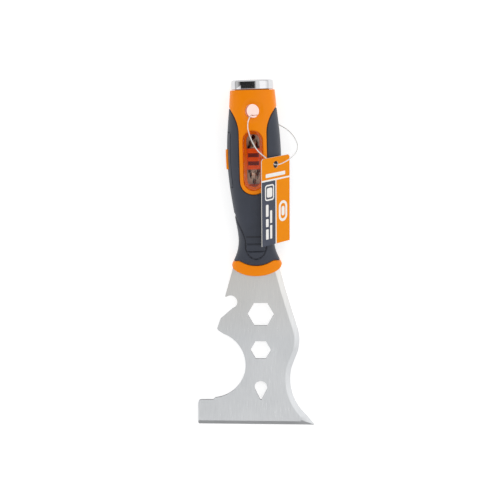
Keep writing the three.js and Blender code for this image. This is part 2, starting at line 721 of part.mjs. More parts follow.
const STEEL = paint(0xc4c5c7, 0.38, 0.9);
const CHROME = paint(0xd9d9dc, 0.08, 1.0);
const DARK_STEEL = paint(0x8d8c88, 0.35, 0.9);
const ORANGE = paint(0xf3800a, 0.4);
const DEEP_ORANGE = paint(0xd5541e, 0.4);
const GREY_GRIP = paint(0x585a62, 0.75);
const CLEAR = paint(0xf4efe9, 0.08, 0, 0.35);
const CARD = paint(0xfc9307, 0.55);

// ---- assembly ----

const tool = new THREE.Group();
const handle = new THREE.Group();

function place(parent, name, shape, material) {
  const geometry = shape.isBufferGeometry ? shape : geometryOf(shape);
  const mesh = new THREE.Mesh(geometry, material);
  mesh.name = name;
  parent.add(mesh);
}

const core = coreBody();
place(tool, 'blade', bladeWithTang(), STEEL);
place(handle, 'core_front_shell', coreFront(core), ORANGE);
place(handle, 'core_back_shell', coreBack(core), ORANGE);
place(handle, 'grip_overmould', gripOvermould(), GREY_GRIP);
place(handle, 'window_lens', windowLens(), CLEAR);
place(handle, 'bit_drawer', bitDrawer(), DEEP_ORANGE);
place(handle, 'drawer_face_pad', drawerFacePad(), GREY_GRIP);
place(handle, 'bit_phillips', phillipsBit(), DARK_STEEL);
place(handle, 'bit_slotted', slottedBit(), DARK_STEEL);
place(handle, 'detent_spring', detentSpring(), STEEL);
place(handle, 'hammer_cap', hammerCap(), CHROME);
place(handle, 'bit_socket', bitSocket(), DARK_STEEL);
place(handle, 'socket_magnet', socketMagnet(), DARK_STEEL);
capPins(0).forEach((pin, i) => place(handle, ['cap_pin_left', 'cap_pin_right'][i], pin, STEEL));
RIVET.places.forEach(([name, y]) => {
  place(handle, `tang_rivet_${name}`, joined(...rivetParts(y, 0)), STEEL);
});

// Handle coordinates are tool coordinates turned about the pivot.
handle.position.set(PIVOT.x, PIVOT.y, 0);
handle.rotation.z = LEAN;
handle.children.forEach((mesh) => mesh.position.set(0, -PIVOT.y, 0));
tool.add(handle);

// The tool rests on the back of its palm swell and on the back of its scraper edge.
const edge = { y: FRONT_BEVEL, z: -PLATE };
const leanings = [];
for (let y = 97; y <= HANDLE_TOP; y += 1) {
  leanings.push(Math.atan2(smoothed(BACK_DEPTH, y) + edge.z, y - edge.y));
}
const pitch = Math.max(...leanings);
tool.rotation.x = pitch;
tool.position.z = -(edge.z * Math.cos(pitch) + edge.y * Math.sin(pitch));

// The tag, its loop and its lock lie beside the resting tool.
const resting = new THREE.Group();
resting.add(tool);
place(resting, 'swing_tag', swingTag(), CARD);
place(resting, 'tag_string', tagString(), CLEAR);
place(resting, 'string_lock', stringLock(), CLEAR);

// The origin is on the surface below the middle of the tool.
const object = new THREE.Group();
resting.position.set(-MIDDLE.x, -MIDDLE.y, 0);
object.add(resting);
object.updateMatrixWorld(true);

export default object;
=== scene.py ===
"""A painter's multi tool that lies on its back on a pale floor, seen from above."""

import math

import bmesh
import bpy
import numpy as np
from mathutils import Matrix, Vector


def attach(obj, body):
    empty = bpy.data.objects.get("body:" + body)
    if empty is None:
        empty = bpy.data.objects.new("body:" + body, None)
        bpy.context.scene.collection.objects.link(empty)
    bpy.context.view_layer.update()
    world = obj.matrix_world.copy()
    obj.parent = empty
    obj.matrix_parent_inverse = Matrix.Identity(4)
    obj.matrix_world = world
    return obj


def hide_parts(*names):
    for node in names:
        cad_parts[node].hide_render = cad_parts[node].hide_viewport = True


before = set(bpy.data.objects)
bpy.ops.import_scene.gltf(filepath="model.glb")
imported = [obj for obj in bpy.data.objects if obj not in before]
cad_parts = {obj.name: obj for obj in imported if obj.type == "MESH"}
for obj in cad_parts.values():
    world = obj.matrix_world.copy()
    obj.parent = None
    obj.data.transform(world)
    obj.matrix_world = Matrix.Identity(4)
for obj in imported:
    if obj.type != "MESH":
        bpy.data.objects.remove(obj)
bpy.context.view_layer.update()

# ---- driving dimensions, in millimetres, in the tool's own frame ----

# The room between two parts, and a length that is past everything.
GAP = 0.3
FAR = 60
# Edges shorter than this are closed up before a bevel, and points this near to each other are one.
SHORTEST = 0.02
SAME = 1e-4
SIDES = 96
FEW_SIDES = 32

# The blade, with Y from its scraper edge and Z from the middle of its thickness.
PLATE = 1.1
EDGE_HALF = 0.25
BLADE_LEFT = -37.6
TOE_X = 37.0
WING_TOP = 15.8
ROLLER = (-28.7, 38.7, 21.6)
HOOK = (-16.5, 79.3, 4.3)
BULGE = (0.7, 55.0, 26.6)
WAIST = (53.6, 29.8, 32.1)
SIDE_BEVEL = 3.2
FRONT_BEVEL = 2.3
HOLE_X = 2.7
HEX_HOLES = ((71.6, 14.5), (48.5, 11.3))
NAIL_SLOT = {"y": 24.3, "r": 4.0, "tip": 16.2}

# The handle leans about a point in its collar. Its sections are superellipses.
PIVOT = (0.45, 101.9)
LEAN = math.radians(1.4)
HANDLE_LOW = 95.0
HANDLE_TOP = 213.0
OPEN_TOP = 230
HALF_WIDTH = (
    (94, 15.9), (104, 15.75), (107.8, 13.95), (112.5, 12.1), (118, 11.2), (124, 11.4), (132.5, 12.75),
    (144, 14.5), (155.3, 15.9), (168, 16.8), (180, 16.7), (190, 16.0), (200, 15.0), (213, 13.9),
)
FRONT_DEPTH = (
    (94, 8.4), (106, 8.4), (118, 9.2), (134, 11.0), (152, 12.9), (168, 13.5), (190, 13.3), (213, 12.2),
)
BACK_DEPTH = (
    (94, 6.0), (106, 6.4), (118, 6.9), (134, 7.9), (152, 9.3), (172, 10.4), (190, 10.3), (213, 9.6),
)
SQUARENESS = 2.6
SKIN = 1.8
SOFT_EDGE = 0.55
HARD_EDGE = 0.6
DRAWER_EDGE = 0.2
SEAT_EDGE = 0.35
TOP_EDGE = 0.4
LENS_EDGE = 0.5

PANEL = {"half": 8.8, "foot": 148.6, "shoulder": 186, "flare": 204}
LENS = {"half": 6.1, "low": 151.2, "high": 187.9, "thick": 1.0, "sunk": 0.15, "funnel": 11.4}
APERTURE = {"half": 4.1, "low": 153.3, "high": 186.0, "lip": 9.6}
DRAWER = {"low": 153.2, "high": 186.8, "floor": 1.7, "top": 8.8, "tail": 11.0, "wall": 1.4, "flank": 15.2}
RAILS = {"top": 4.0, "end": 6.0, "lug": 2.9, "lug_out": 1.5, "lug_long": 1.8}
LUG_ROOM = {"out": 1.9, "top": 3.5, "start": 1.2}
SPRING_ROOM = {"end": 13.2, "low": 164.5, "high": 176.5, "top": 6.5}
BLOCK = {"low": 164.0, "high": 176.9, "right": 5.0}
PLATE_X = -13.4
TAB = {"low": 164.3, "high": 176.6, "floor": 2.2, "top": 6.0, "proud": 0.9}
BIT_FLATS = 6.35
BIT_Z = 4.95
BIT_PLACES = (0, -8.8)
BORE_ENDS = (160, 180)
# Shallow slots across the block, whose floors get painted shade.
SLOTS = {"places": (167.8, 172.8), "half": 1.25, "reach": 3.4, "deep": 0.35}

HANG_HOLE = {"y": 200.0, "r": 4.3, "rim": 7.8, "deep": 1.6, "tang_gap": 1.1}
DISH_RINGS = (4.5, 5.0, 5.7, 6.7)
CAP = {"base": 213.3, "top": 219.3, "half": 13.3, "front": 11.6, "back": 9.2, "rim": 1.1}
CAP_FOOT = ((0, 0.35), (0.15, 0.12), (0.4, 0.0))
CAP_CROWN = {"steps": 6, "inset": 0.1, "reach": 1.3, "below": 1.2}
BOSS = {"half": 10.6, "depth": 6.0, "low": 206.4}
SOCKET = {"low": 206.0, "outer": 5.3}
CAP_PIN = {"x": 7.5, "y": 209.4, "r": 1.2}
TANG = {"half": 8.0, "fork": 9.2, "slot": 5.7, "foot": 98, "neck": 190, "split": 196, "top": 211.2}
RIVET = {"r": 2.0, "head": 3.4, "thick": 1.0, "sunk": 0.4, "places": (114.5, 141.0)}
NECK = ((-15.4, 90), (15.4, 90), (15.4, 101.2), (9, 102), (-9, 102), (-15.4, 101.2))
HIDDEN = (
    "detent_spring", "socket_magnet", "cap_pin_left", "cap_pin_right",
    "tang_rivet_lower", "tang_rivet_upper",
)

# A line pressed into the grip below the window, and short bars inside it.
THUMB_LINE = (
    (-13.3, 136.2), (-11.2, 131.2), (-7.65, 123.3), (-6.6, 119), (-6.3, 113.4), (-4.1, 109.6), (0, 107.7),
)
THUMB_BARS = (122.0, 117.3, 112.6)
GROOVE_RINGS = (1.0, 0.7, 0.35, 0.1)
# Faces within the dark distance of the lines get a darker rubber: painted shade in the grooves.
GROOVE = {"half": 0.6, "deep": 0.6, "reach": 5.2, "dark": 0.42}

TAG = {"wide": 25.8, "long": 55.0, "thick": 0.5, "corner": 1.2}
TAG_TURN = Matrix.Rotation(math.radians(10), 4, "X") @ Matrix.Rotation(math.radians(50), 4, "Y")
TAG_CORNER = (4.2, 169.4, 32.3)
TAG_HOLE = {"across": 12.9, "down": 4.8, "r": 2.2}

# The loop, in the resting frame, from one end of its lock round to the other.
STRING_RADIUS = 0.35
STRING_ROUTE = (
    (11.86, 192.55, 1.25), (14.6, 191.1, 1.5), (17.6, 189.4, 2.6), (20.3, 187.4, 4.6),
    (22.8, 184.8, 7.1), (24.9, 181.4, 9.9), (26.0, 177.8, 12.8), (25.3, 174.4, 15.8),
    (23.1, 171.5, 18.6), (20.2, 169.1, 21.0), (17.3, 167.4, 22.8), (15.0, 166.5, 23.5),
    (13.4, 166.2, 23.0), (12.3, 166.3, 22.1), (11.2, 166.8, 21.85), (9.9, 167.7, 22.5),
    (8.0, 169.2, 23.75), (5.6, 171.2, 24.8), (3.2, 173.2, 25.2), (1.0, 175.6, 25.3),
    (-1.0, 178.8, 25.4), (-2.5, 182.0, 25.5), (-3.7, 185.4, 25.6), (-4.4, 188.8, 25.9),
    (-4.35, 191.6, 26.2), (-3.9, 193.6, 26.1), (-3.2, 195.3, 25.2), (-2.65, 196.4, 23.2),
    (-2.45, 196.8, 19.5), (-2.3, 196.9, 13.0), (-2.0, 196.95, 6.0), (-1.3, 197.2, 2.7),
    (0.3, 197.5, 1.3), (2.4, 197.35, 1.1), (4.49, 196.65, 1.25),
)
LOCK = {"start": (4.75, 196.5, 1.25), "end": (11.6, 192.7, 1.25), "r": 1.05}
MIDDLE = (-0.3, 109.73, 0.0)

CAMERA_PLACE = (0.0377, 0.0562, 0.8)
CAMERA_AIM = (-0.0041, 0.0022, 0.0)
CAMERA_LENS = 90.66
CAMERA_CLIP = (0.01, 20)

# The light table's glow and the dome's brightness.
TABLE_GLOW = 0.65
DOME = 0.97
# The dome's dark flags and its grey horizon, by direction cosines.
FLAG = {"middle": 0.02, "half": 0.12, "soft": 0.09, "left": -1.0, "right": 0.12}
FLAG_GREY = (0.03, 0.03, 0.03)
BLADE_FLAG = {"ends": (-0.78, -0.66), "shade": 0.75}
HORIZON = {"starts": (0.04, 0.12), "fades": (0.16, 0.62), "shade": 0.5}
# Each side light's name, place and size in metres, and power in watts.
SIDE_LIGHTS = (
    ("right_strip", (0.55, 0.05, 0.42), (0.5, 0.9), 0.45),
    ("left_fill", (-0.6, -0.1, 0.35), (0.3, 0.6), 0.4),
)
LIGHT_AIM = (0, 0, 0.01)
FLOOR = {"size": 6, "drop": 0.00005}


# ---- frames: tool, handle and resting coordinates in millimetres, to the row frame in metres ----


def smoothed(keys, at):
    """The value at each place of a smooth curve through (place, value) pairs."""
    x, v = np.array(keys, float).T
    at = np.asarray(at, float)
    slope = np.empty_like(v)
    slope[1:-1] = (v[2:] - v[:-2]) / (x[2:] - x[:-2])
    slope[0] = (v[1] - v[0]) / (x[1] - x[0])
    slope[-1] = (v[-1] - v[-2]) / (x[-1] - x[-2])
    i = np.clip(np.searchsorted(x, at, side="right") - 1, 0, len(x) - 2)
    step = x[i + 1] - x[i]
    t = np.clip((at - x[i]) / step, 0, 1)
    lead = (1 + 2 * t) * (1 - t) ** 2 * v[i] + t * (1 - t) ** 2 * step * slope[i]
    return lead + t * t * (3 - 2 * t) * v[i + 1] + t * t * (t - 1) * step * slope[i + 1]


def resting_pitch():
    """The tool rests on the back of its palm swell and on the back of its scraper edge."""
    y = np.arange(97, HANDLE_TOP + 1)
    return float(np.arctan2(smoothed(BACK_DEPTH, y) - PLATE, y - FRONT_BEVEL).max())


PITCH = resting_pitch()
LIFT = PLATE * math.cos(PITCH) - FRONT_BEVEL * math.sin(PITCH)
RESTING = Matrix.Scale(0.001, 4) @ Matrix.Translation(-Vector(MIDDLE))
TOOL = RESTING @ Matrix.Translation((0, 0, LIFT)) @ Matrix.Rotation(PITCH, 4, "X")
HANDLE = (
    TOOL
    @ Matrix.Translation((*PIVOT, 0))
    @ Matrix.Rotation(LEAN, 4, "Z")
    @ Matrix.Translation((0, -PIVOT[1], 0))
)


# ---- camera, floor and light ----


def make_camera():
    data = bpy.data.cameras.new("camera")
    data.lens = CAMERA_LENS
    data.clip_start, data.clip_end = CAMERA_CLIP
    camera = link("camera", data)
    back = (Vector(CAMERA_PLACE) - Vector(CAMERA_AIM)).normalized()
    right = Vector((0, 1, 0)).cross(back).normalized()
    camera.location = CAMERA_PLACE
    camera.rotation_mode = "QUATERNION"
    camera.rotation_quaternion = Matrix((right, back.cross(right), back)).transposed().to_quaternion()
    bpy.context.scene.camera = camera


def softbox(name, place, size, power):
    data = bpy.data.lights.new(name, "AREA")
    data.shape = "RECTANGLE"
    data.size, data.size_y = size
    data.energy = power
    lamp = link(name, data)
    lamp.location = place
    lamp.rotation_mode = "QUATERNION"
    lamp.rotation_quaternion = (Vector(LIGHT_AIM) - Vector(place)).to_track_quat("-Z", "Y")


def light_scene():
    """A white studio dome over a grey horizon, with a dark flag above the cap and one before the blade."""
    world = bpy.data.worlds.new("studio")
    world.use_nodes = True
    nodes = Nodes(world.node_tree)
    background = world.node_tree.nodes["Background"]
    toward = nodes.split(nodes.add("ShaderNodeTexCoord").outputs["Generated"])
    off_band = nodes.math("ABSOLUTE", nodes.math("SUBTRACT", toward["Y"], FLAG["middle"]))
    band = nodes.spread(off_band, FLAG["half"], FLAG["half"] + FLAG["soft"], 1, 0)
    from_right = nodes.spread(toward["X"], FLAG["right"] - FLAG["soft"], FLAG["right"], 1, 0)
    from_left = nodes.spread(toward["X"], FLAG["left"], FLAG["left"] + 4 * FLAG["soft"], 0, 1)
    above_cap = nodes.math("MULTIPLY", band, nodes.math("MULTIPLY", from_right, from_left))
    before_blade = nodes.spread(toward["Y"], *BLADE_FLAG["ends"], BLADE_FLAG["shade"], 0)
    above = nodes.spread(toward["Z"], *HORIZON["fades"], HORIZON["shade"], 0)
    below = nodes.spread(toward["Z"], *HORIZON["starts"], 0, HORIZON["shade"])
    horizon = nodes.math("MINIMUM", above, below)
    shade = nodes.math("MAXIMUM", above_cap, nodes.math("MAXIMUM", before_blade, horizon))
    nodes.feed(background.inputs["Color"], nodes.blend(shade, (1, 1, 1), FLAG_GREY))
    background.inputs["Strength"].default_value = DOME
    bpy.context.scene.world = world
    for light in SIDE_LIGHTS:
        softbox(*light)
    bpy.context.scene.view_settings.view_transform = "Standard"


def make_floor():
    """A pale light table, which keeps the shadows soft and the holes bright."""
    bpy.ops.mesh.primitive_plane_add(size=FLOOR["size"], location=(0, 0, -FLOOR["drop"]))
    floor = bpy.context.object
    floor.name = "floor"
    material, nodes = new_material("pale_floor", (0.55, 0.55, 0.55), 0.75)
    grain = nodes.noise(nodes.place(), 60, 3)
    nodes.color(grain, (0.53, 0.53, 0.53), (0.57, 0.57, 0.57))
    nodes.even(Emission_Color=(1, 1, 1, 1), Emission_Strength=TABLE_GLOW)
    floor.data.materials.append(material)


# ---- shader nodes ----


def srgb(*shown):
    """A linear colour from the eight-bit values that a screen shows."""
    shares = [v / 255 for v in shown]
    return tuple(((v + 0.055) / 1.055) ** 2.4 if v > 10 / 255 else v / 12.92 for v in shares)


class Nodes:
    """Short names for the shader nodes that the materials use."""

    def __init__(self, tree):
        self.tree = tree
        self.shader = tree.nodes.get("Principled BSDF")

    def add(self, kind, inputs=(), **settings):
        node = self.tree.nodes.new(kind)
        for key, value in settings.items():
            setattr(node, key, value)
        for name, value in dict(inputs).items():
            self.feed(node.inputs[name], value)
        return node

    def feed(self, socket, value):
        if isinstance(value, bpy.types.NodeSocket):
            self.tree.links.new(value, socket)
        else:
            socket.default_value = value

    def place(self):
        return self.add("ShaderNodeTexCoord").outputs["Object"]

    def card(self):
        return self.add("ShaderNodeUVMap", uv_map="card").outputs["UV"]

    def stretched(self, vector, scale):
        return self.add("ShaderNodeMapping", {"Vector": vector, "Scale": scale}).outputs["Vector"]

    def noise(self, vector, scale, detail=2.0, roughness=0.5):
        inputs = {"Vector": vector, "Scale": scale, "Detail": detail, "Roughness": roughness}
        return self.add("ShaderNodeTexNoise", inputs).outputs["Fac"]

    def cells(self, vector, scale):
        return self.add("ShaderNodeTexVoronoi", {"Vector": vector, "Scale": scale}).outputs["Distance"]

    def math(self, operation, a, b=0.0):
        return self.add("ShaderNodeMath", {0: a, 1: b}, operation=operation).outputs[0]

    def spread(self, value, low, high, to_low, to_high):
        inputs = {"Value": value, "From Min": low, "From Max": high, "To Min": to_low, "To Max": to_high}
        return self.add("ShaderNodeMapRange", inputs).outputs["Result"]

    def blend(self, factor, a, b):
        node = self.add("ShaderNodeMix", data_type="RGBA")
        self.feed(node.inputs[0], factor)
        for socket, value in ((node.inputs[6], a), (node.inputs[7], b)):
            self.feed(socket, value if isinstance(value, bpy.types.NodeSocket) else (*value, 1))
        return node.outputs[2]

    def split(self, vector):
        return self.add("ShaderNodeSeparateXYZ", {"Vector": vector}).outputs

    def color(self, factor, low, high):
        self.feed(self.shader.inputs["Base Color"], self.blend(factor, low, high))

    def roughness(self, factor, low, high):
        self.feed(self.shader.inputs["Roughness"], self.spread(factor, 0.3, 0.7, low, high))

    def relief(self, height, strength, distance):
        inputs = {"Height": height, "Strength": strength, "Distance": distance}
        self.feed(self.shader.inputs["Normal"], self.add("ShaderNodeBump", inputs).outputs["Normal"])

    def even(self, **values):
        """Sets what is the same all over, on the shader's own sockets."""
        for name, value in values.items():
            self.shader.inputs[name.replace("_", " ")].default_value = value


def new_material(name, color, roughness, metallic=0.0):
    material = bpy.data.materials.new(name)
    material.use_nodes = True
    nodes = Nodes(material.node_tree)
    nodes.even(Base_Color=(*color, 1), Roughness=roughness, Metallic=metallic)
    return material, nodes


# ---- materials ----


def brushed_blade():
    """Satin steel with fine lines along the blade, a little warmer near the collar."""
    material, nodes = new_material("brushed_blade", srgb(205, 206, 208), 0.3, 1.0)
    place = nodes.place()
    lines = nodes.noise(nodes.stretched(place, (2600, 55, 2600)), 1, 3, 0.6)
    warm = nodes.spread(nodes.split(place)["Y"], -0.055, -0.012, 0, 1)
    base = nodes.blend(warm, srgb(220, 222, 224), srgb(223, 220, 214))
    grained = nodes.blend(nodes.spread(lines, 0.3, 0.7, 0, 0.3), base, srgb(190, 192, 195))
    haze = nodes.spread(nodes.noise(place, 28, 2), 0.35, 0.65, 0, 0.18)
    nodes.color(haze, grained, srgb(246, 247, 248))
    nodes.roughness(lines, 0.27, 0.4)
    nodes.relief(lines, 0.18, 0.00002)
    return material


def orange_plastic(name, bright, deep):
    """Semi-gloss moulded plastic with a faint orange-peel skin and slow drifts of colour."""
    material, nodes = new_material(name, bright, 0.36)
    place = nodes.place()
    nodes.color(nodes.noise(place, 55, 3), deep, bright)
    nodes.roughness(nodes.noise(place, 160, 3), 0.3, 0.42)
    nodes.relief(nodes.noise(place, 1400, 2), 0.12, 0.00006)
    nodes.even(Specular_IOR_Level=0.14, Coat_Weight=0.05, Coat_Roughness=0.2)
    return material


def soft_grip(name, dark, light, worn):
    """Matte rubber with a sand-fine mould grain and slightly polished patches."""
    material, nodes = new_material(name, light, 0.6)
    place = nodes.place()
    patches = nodes.noise(place, 70, 4)
    tone = nodes.blend(nodes.spread(patches, 0.3, 0.7, 0, 1), dark, light)
    grain = nodes.noise(place, 5200, 2)
    nodes.color(nodes.spread(grain, 0.35, 0.65, 0, 0.25), tone, worn)
    nodes.roughness(patches, 0.5, 0.66)
    nodes.relief(nodes.math("ADD", grain, nodes.cells(place, 2600)), 0.22, 0.00006)
    nodes.even(Sheen_Weight=0.08, Sheen_Roughness=0.5)
    return material


def polished_chrome():
    """Bright plating with the faintest polishing haze."""
    material, nodes = new_material("polished_chrome", srgb(218, 218, 221), 0.06, 1.0)
    place = nodes.place()
    haze = nodes.noise(nodes.stretched(place, (120, 900, 120)), 1, 3)
    nodes.color(haze, srgb(212, 212, 215), srgb(224, 224, 225))
    nodes.roughness(haze, 0.035, 0.1)
    nodes.relief(nodes.noise(place, 240, 2), 0.04, 0.0001)
    return material


def plain_metal(name, dark, light, rough_low, rough_high, scale=900):
    """Metal with a cloudy, slightly blasted skin."""
    material, nodes = new_material(name, light, rough_low, 1.0)
    place = nodes.place()
    cloud = nodes.noise(place, scale, 4, 0.6)
    nodes.color(nodes.spread(cloud, 0.3, 0.7, 0, 1), dark, light)
    nodes.roughness(cloud, rough_low, rough_high)
    nodes.relief(nodes.noise(place, 4 * scale, 3), 0.15, 0.00005)
    return material


def clear_window():
    """Thin clear plastic: what is behind shows through, and the skin mirrors more at a glance."""
    material = bpy.data.materials.new("clear_window")
    material.use_nodes = True
    tree = material.node_tree
    tree.nodes.remove(tree.nodes["Principled BSDF"])
    nodes = Nodes(tree)
    place = nodes.place()
    smear = nodes.noise(place, 260, 3)
    through = nodes.add("ShaderNodeBsdfTransparent")
    nodes.feed(through.inputs["Color"], nodes.blend(smear, srgb(255, 240, 232), srgb(255, 247, 242)))
    gloss = nodes.add("ShaderNodeBsdfAnisotropic", {"Color": (1, 0.97, 0.96, 1)})
    nodes.feed(gloss.inputs["Roughness"], nodes.spread(smear, 0.3, 0.7, 0.03, 0.1))
    skin = nodes.add("ShaderNodeFresnel", {"IOR": 1.5})
    mixed = nodes.add("ShaderNodeMixShader", {0: nodes.math("MULTIPLY", skin.outputs[0], 0.6)})
    tree.links.new(through.outputs[0], mixed.inputs[1])
    tree.links.new(gloss.outputs[0], mixed.inputs[2])
    tree.links.new(mixed.outputs[0], tree.nodes["Material Output"].inputs["Surface"])
    return material


def clear_nylon():
    """Milky, half-clear nylon."""
    material, nodes = new_material("clear_nylon", srgb(226, 228, 230), 0.25)
    cloud = nodes.noise(nodes.place(), 900, 2)
    nodes.color(cloud, srgb(240, 240, 238), srgb(253, 253, 250))
    nodes.roughness(cloud, 0.18, 0.34)
    nodes.even(Alpha=0.75)
    return material


def inside(nodes, across, down, area, corner=0.0, line=None):
    """1 inside a rounded rectangle on the card, or only on its outline of the given width. Millimetres."""
    left, right, top, bottom = area
    sides = []
    squares = []
    for at, low, high in ((across, left, right), (down, top, bottom)):
        off = nodes.math("ABSOLUTE", nodes.math("SUBTRACT", at, (low + high) / 2))
        sides.append(nodes.math("SUBTRACT", off, (high - low) / 2 - corner))
        beyond = nodes.math("MAXIMUM", sides[-1], 0.0)
        squares.append(nodes.math("MULTIPLY", beyond, beyond))
    outer = nodes.math("SQRT", nodes.math("ADD", *squares))
    inner = nodes.math("MINIMUM", nodes.math("MAXIMUM", *sides), 0.0)
    distance = nodes.math("SUBTRACT", nodes.math("ADD", outer, inner), corner)
    if line:
        off = nodes.math("ABSOLUTE", nodes.math("ADD", distance, line / 2))
        distance = nodes.math("SUBTRACT", off, line / 2)
    return nodes.math("LESS_THAN", distance, 0.0)


def printed_card():
    """Coated card: orange, a dark grey panel, white rules, an empty badge and plain white bars."""
    material, nodes = new_material("printed_card", srgb(252, 147, 6), 0.5)
    nodes.even(Specular_IOR_Level=0.08)
    spot = nodes.split(nodes.card())
    across = nodes.math("MULTIPLY", spot["X"], TAG["wide"])
    down = nodes.math("MULTIPLY", spot["Y"], TAG["long"])
    mottle = nodes.noise(nodes.place(), 420, 3)
    middle = TAG["wide"] / 2
    rule = 14.0
    color = nodes.blend(mottle, srgb(244, 140, 0), srgb(250, 150, 0))
    grey = nodes.blend(mottle, srgb(74, 79, 93), srgb(86, 90, 103))
    color = nodes.blend(inside(nodes, across, down, (0, middle, rule, TAG["long"])), color, grey)
    marks = [
        ((-1, TAG["wide"] + 1, rule - 0.5, rule + 0.5), 0, None),
        ((middle - 0.45, middle + 0.45, rule, TAG["long"] + 1), 0, None),
        ((2.9, 11.2, 16.6, 26.6), 1.8, 0.9),
        ((4.6, 9.5, 18.6, 24.6), 1.2, None),
        ((3.6, 6.0, 29.0, 36.5), 0.5, None),
        ((3.6, 6.0, 38.0, 43.0), 0.5, None),
        ((3.6, 6.0, 44.5, 51.0), 0.5, None),
        ((7.4, 9.3, 33.0, 41.0), 0.4, None),
        ((7.4, 9.3, 42.3, 51.0), 0.4, None),
        ((3.6, 21.6, 9.8, 12.1), 0.5, None),
        ((15.6, 23.4, 28.4, 41.6), 3.8, 1.7),
        ((18.1, 20.9, 32.0, 38.0), 1.3, None),
    ]
    for area, corner, line in marks:
        color = nodes.blend(inside(nodes, across, down, area, corner, line), color, srgb(250, 248, 244))
    nodes.feed(nodes.shader.inputs["Base Color"], color)
    nodes.roughness(mottle, 0.36, 0.5)
    nodes.relief(nodes.noise(nodes.place(), 2600, 3), 0.08, 0.00004)
    return material


def card_core():
    """The pale fibres of the card's cut edges and plain back."""
    material, nodes = new_material("card_core", srgb(236, 233, 226), 0.8)
    fibre = nodes.noise(nodes.stretched(nodes.place(), (900, 300, 900)), 1, 4)
    nodes.color(fibre, srgb(222, 218, 208), srgb(244, 242, 238))
    nodes.relief(fibre, 0.2, 0.00005)
    return material


def slot_shade_paint():
    """Painted shade on the floors of the slots across the drawer's block, the dark red that shade takes
    deep in orange plastic, so the slots look deep.
    """
    material, nodes = new_material("slot_shade_paint", srgb(150, 30, 12), 0.5)
    nodes.color(nodes.noise(nodes.place(), 300, 3), srgb(96, 10, 5), srgb(124, 20, 9))
    return material


# ---- making meshes ----


def link(name, data):
    thing = bpy.data.objects.new(name, data)
    bpy.context.scene.collection.objects.link(thing)
    return thing


def to_bmesh(points, faces):
    mesh = bpy.data.meshes.new("parts")
    mesh.from_pydata([tuple(p) for p in points], [], faces)
    made = bmesh.new()
    made.from_mesh(mesh)
    bpy.data.meshes.remove(mesh)
    return made


def from_bmesh(name, made):
    bmesh.ops.recalc_face_normals(made, faces=made.faces)
    mesh = bpy.data.meshes.new(name)
    made.to_mesh(mesh)
    made.free()
    return link(name, mesh)


def tube(rings, name="cutter"):
    """A closed solid through rings of points that all have the same count."""
    count = len(rings[0])
    points = [p for ring in rings for p in ring]
    faces = [tuple(range(count))[::-1], tuple(range(len(points) - count, len(points)))]
    for i in range(len(rings) - 1):
        for j in range(count):
            a, b = i * count + j, i * count + (j + 1) % count
            faces.append((a, b, b + count, a + count))
    return from_bmesh(name, to_bmesh(points, faces))


def add_line(curve, points, closed=False):
    """Adds a run of straight stretches through points to a curve."""
    spline = curve.splines.new("POLY")
    spline.points.add(len(points) - 1)
    for point, place in zip(spline.points, points):
        point.co = (*place, 1)
    spline.use_cyclic_u = closed


def prism(outline, z0, z1):
    return tube([[(x, y, z) for x, y in outline] for z in (z0, z1)])


def box(x0, x1, y0, y1, z0, z1):
    return prism(((x0, y0), (x1, y0), (x1, y1), (x0, y1)), z0, z1)


def circle(radius, sides=SIDES, phase=0.0):
    turns = [2 * math.pi * i / sides + phase for i in range(sides)]
    return [(radius * math.cos(t), radius * math.sin(t)) for t in turns]


def post(x, y, r0, r1, z0, z1, sides=SIDES):
    """A cylinder or cone along Z."""
    return tube([[(x + a, y + b, z) for a, b in circle(r, sides)] for r, z in ((r0, z0), (r1, z1))])


def drilled(x, y, radius, sides=FEW_SIDES):
    """What a drill takes out right through the tool."""
    return post(x, y, radius, radius, -FAR, FAR, sides)


def bar(x, z, r0, r1, y0, y1, sides=SIDES):
    """A cylinder or prism along Y; six sides give two flats that face the front and back."""
    return tube([[(x + a, y, z + b) for a, b in circle(r, sides)] for r, y in ((r0, y0), (r1, y1))])


def finished(piece):
    """The piece with its modifiers worked out."""
    graph = bpy.context.evaluated_depsgraph_get()
    mesh = bpy.data.meshes.new_from_object(piece.evaluated_get(graph))
    piece.modifiers.clear()
    old = piece.data
    piece.data = mesh
    bpy.data.meshes.remove(old)
    return piece


def combine(piece, operation, *tools):
    """Cuts, joins or intersects a closed mesh with others, which are used up."""
    for tool in tools:
        step = piece.modifiers.new("combine", "BOOLEAN")
        step.solver = "MANIFOLD"
        step.operation = operation
        step.object = tool
    finished(piece)
    for tool in tools:
        bpy.data.meshes.remove(tool.data)
    return piece


def rounded(piece, width, segments=2, angle=40):
    """Softens the sharp edges, as a mould or a grinder leaves them."""
    piece.modifiers.new("joins", "WELD").merge_threshold = SHORTEST
    tidy = piece.modifiers.new("flats", "DECIMATE")
    tidy.decimate_type = "DISSOLVE"
    tidy.angle_limit = math.radians(1)
    bevel = piece.modifiers.new("edges", "BEVEL")
    bevel.width = width
    bevel.segments = segments
    bevel.limit_method = "ANGLE"
    bevel.angle_limit = math.radians(angle)
    piece.modifiers.new("seams", "WELD").merge_threshold = SHORTEST / 10
    return finished(piece)


def set_down(piece, matrix, body, materials, nodes, smooth=35):
    """Puts a finished mesh in its place in the row frame, gives it its looks and ties it to its body."""
    piece.data.transform(matrix)
    piece.data.materials.clear()
    for material in materials:
        piece.data.materials.append(material)
    for polygon in piece.data.polygons:
        polygon.use_smooth = True
    piece.data.set_sharp_from_angle(angle=math.radians(smooth))
    even = piece.modifiers.new("even_shading", "WEIGHTED_NORMAL")
    even.keep_sharp = True
    finished(piece)
    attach(piece, body)
    if nodes:
        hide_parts(*nodes)
    return piece


# ---- skins: flat sheets of (angle, place along the handle) that wrap round the handle ----


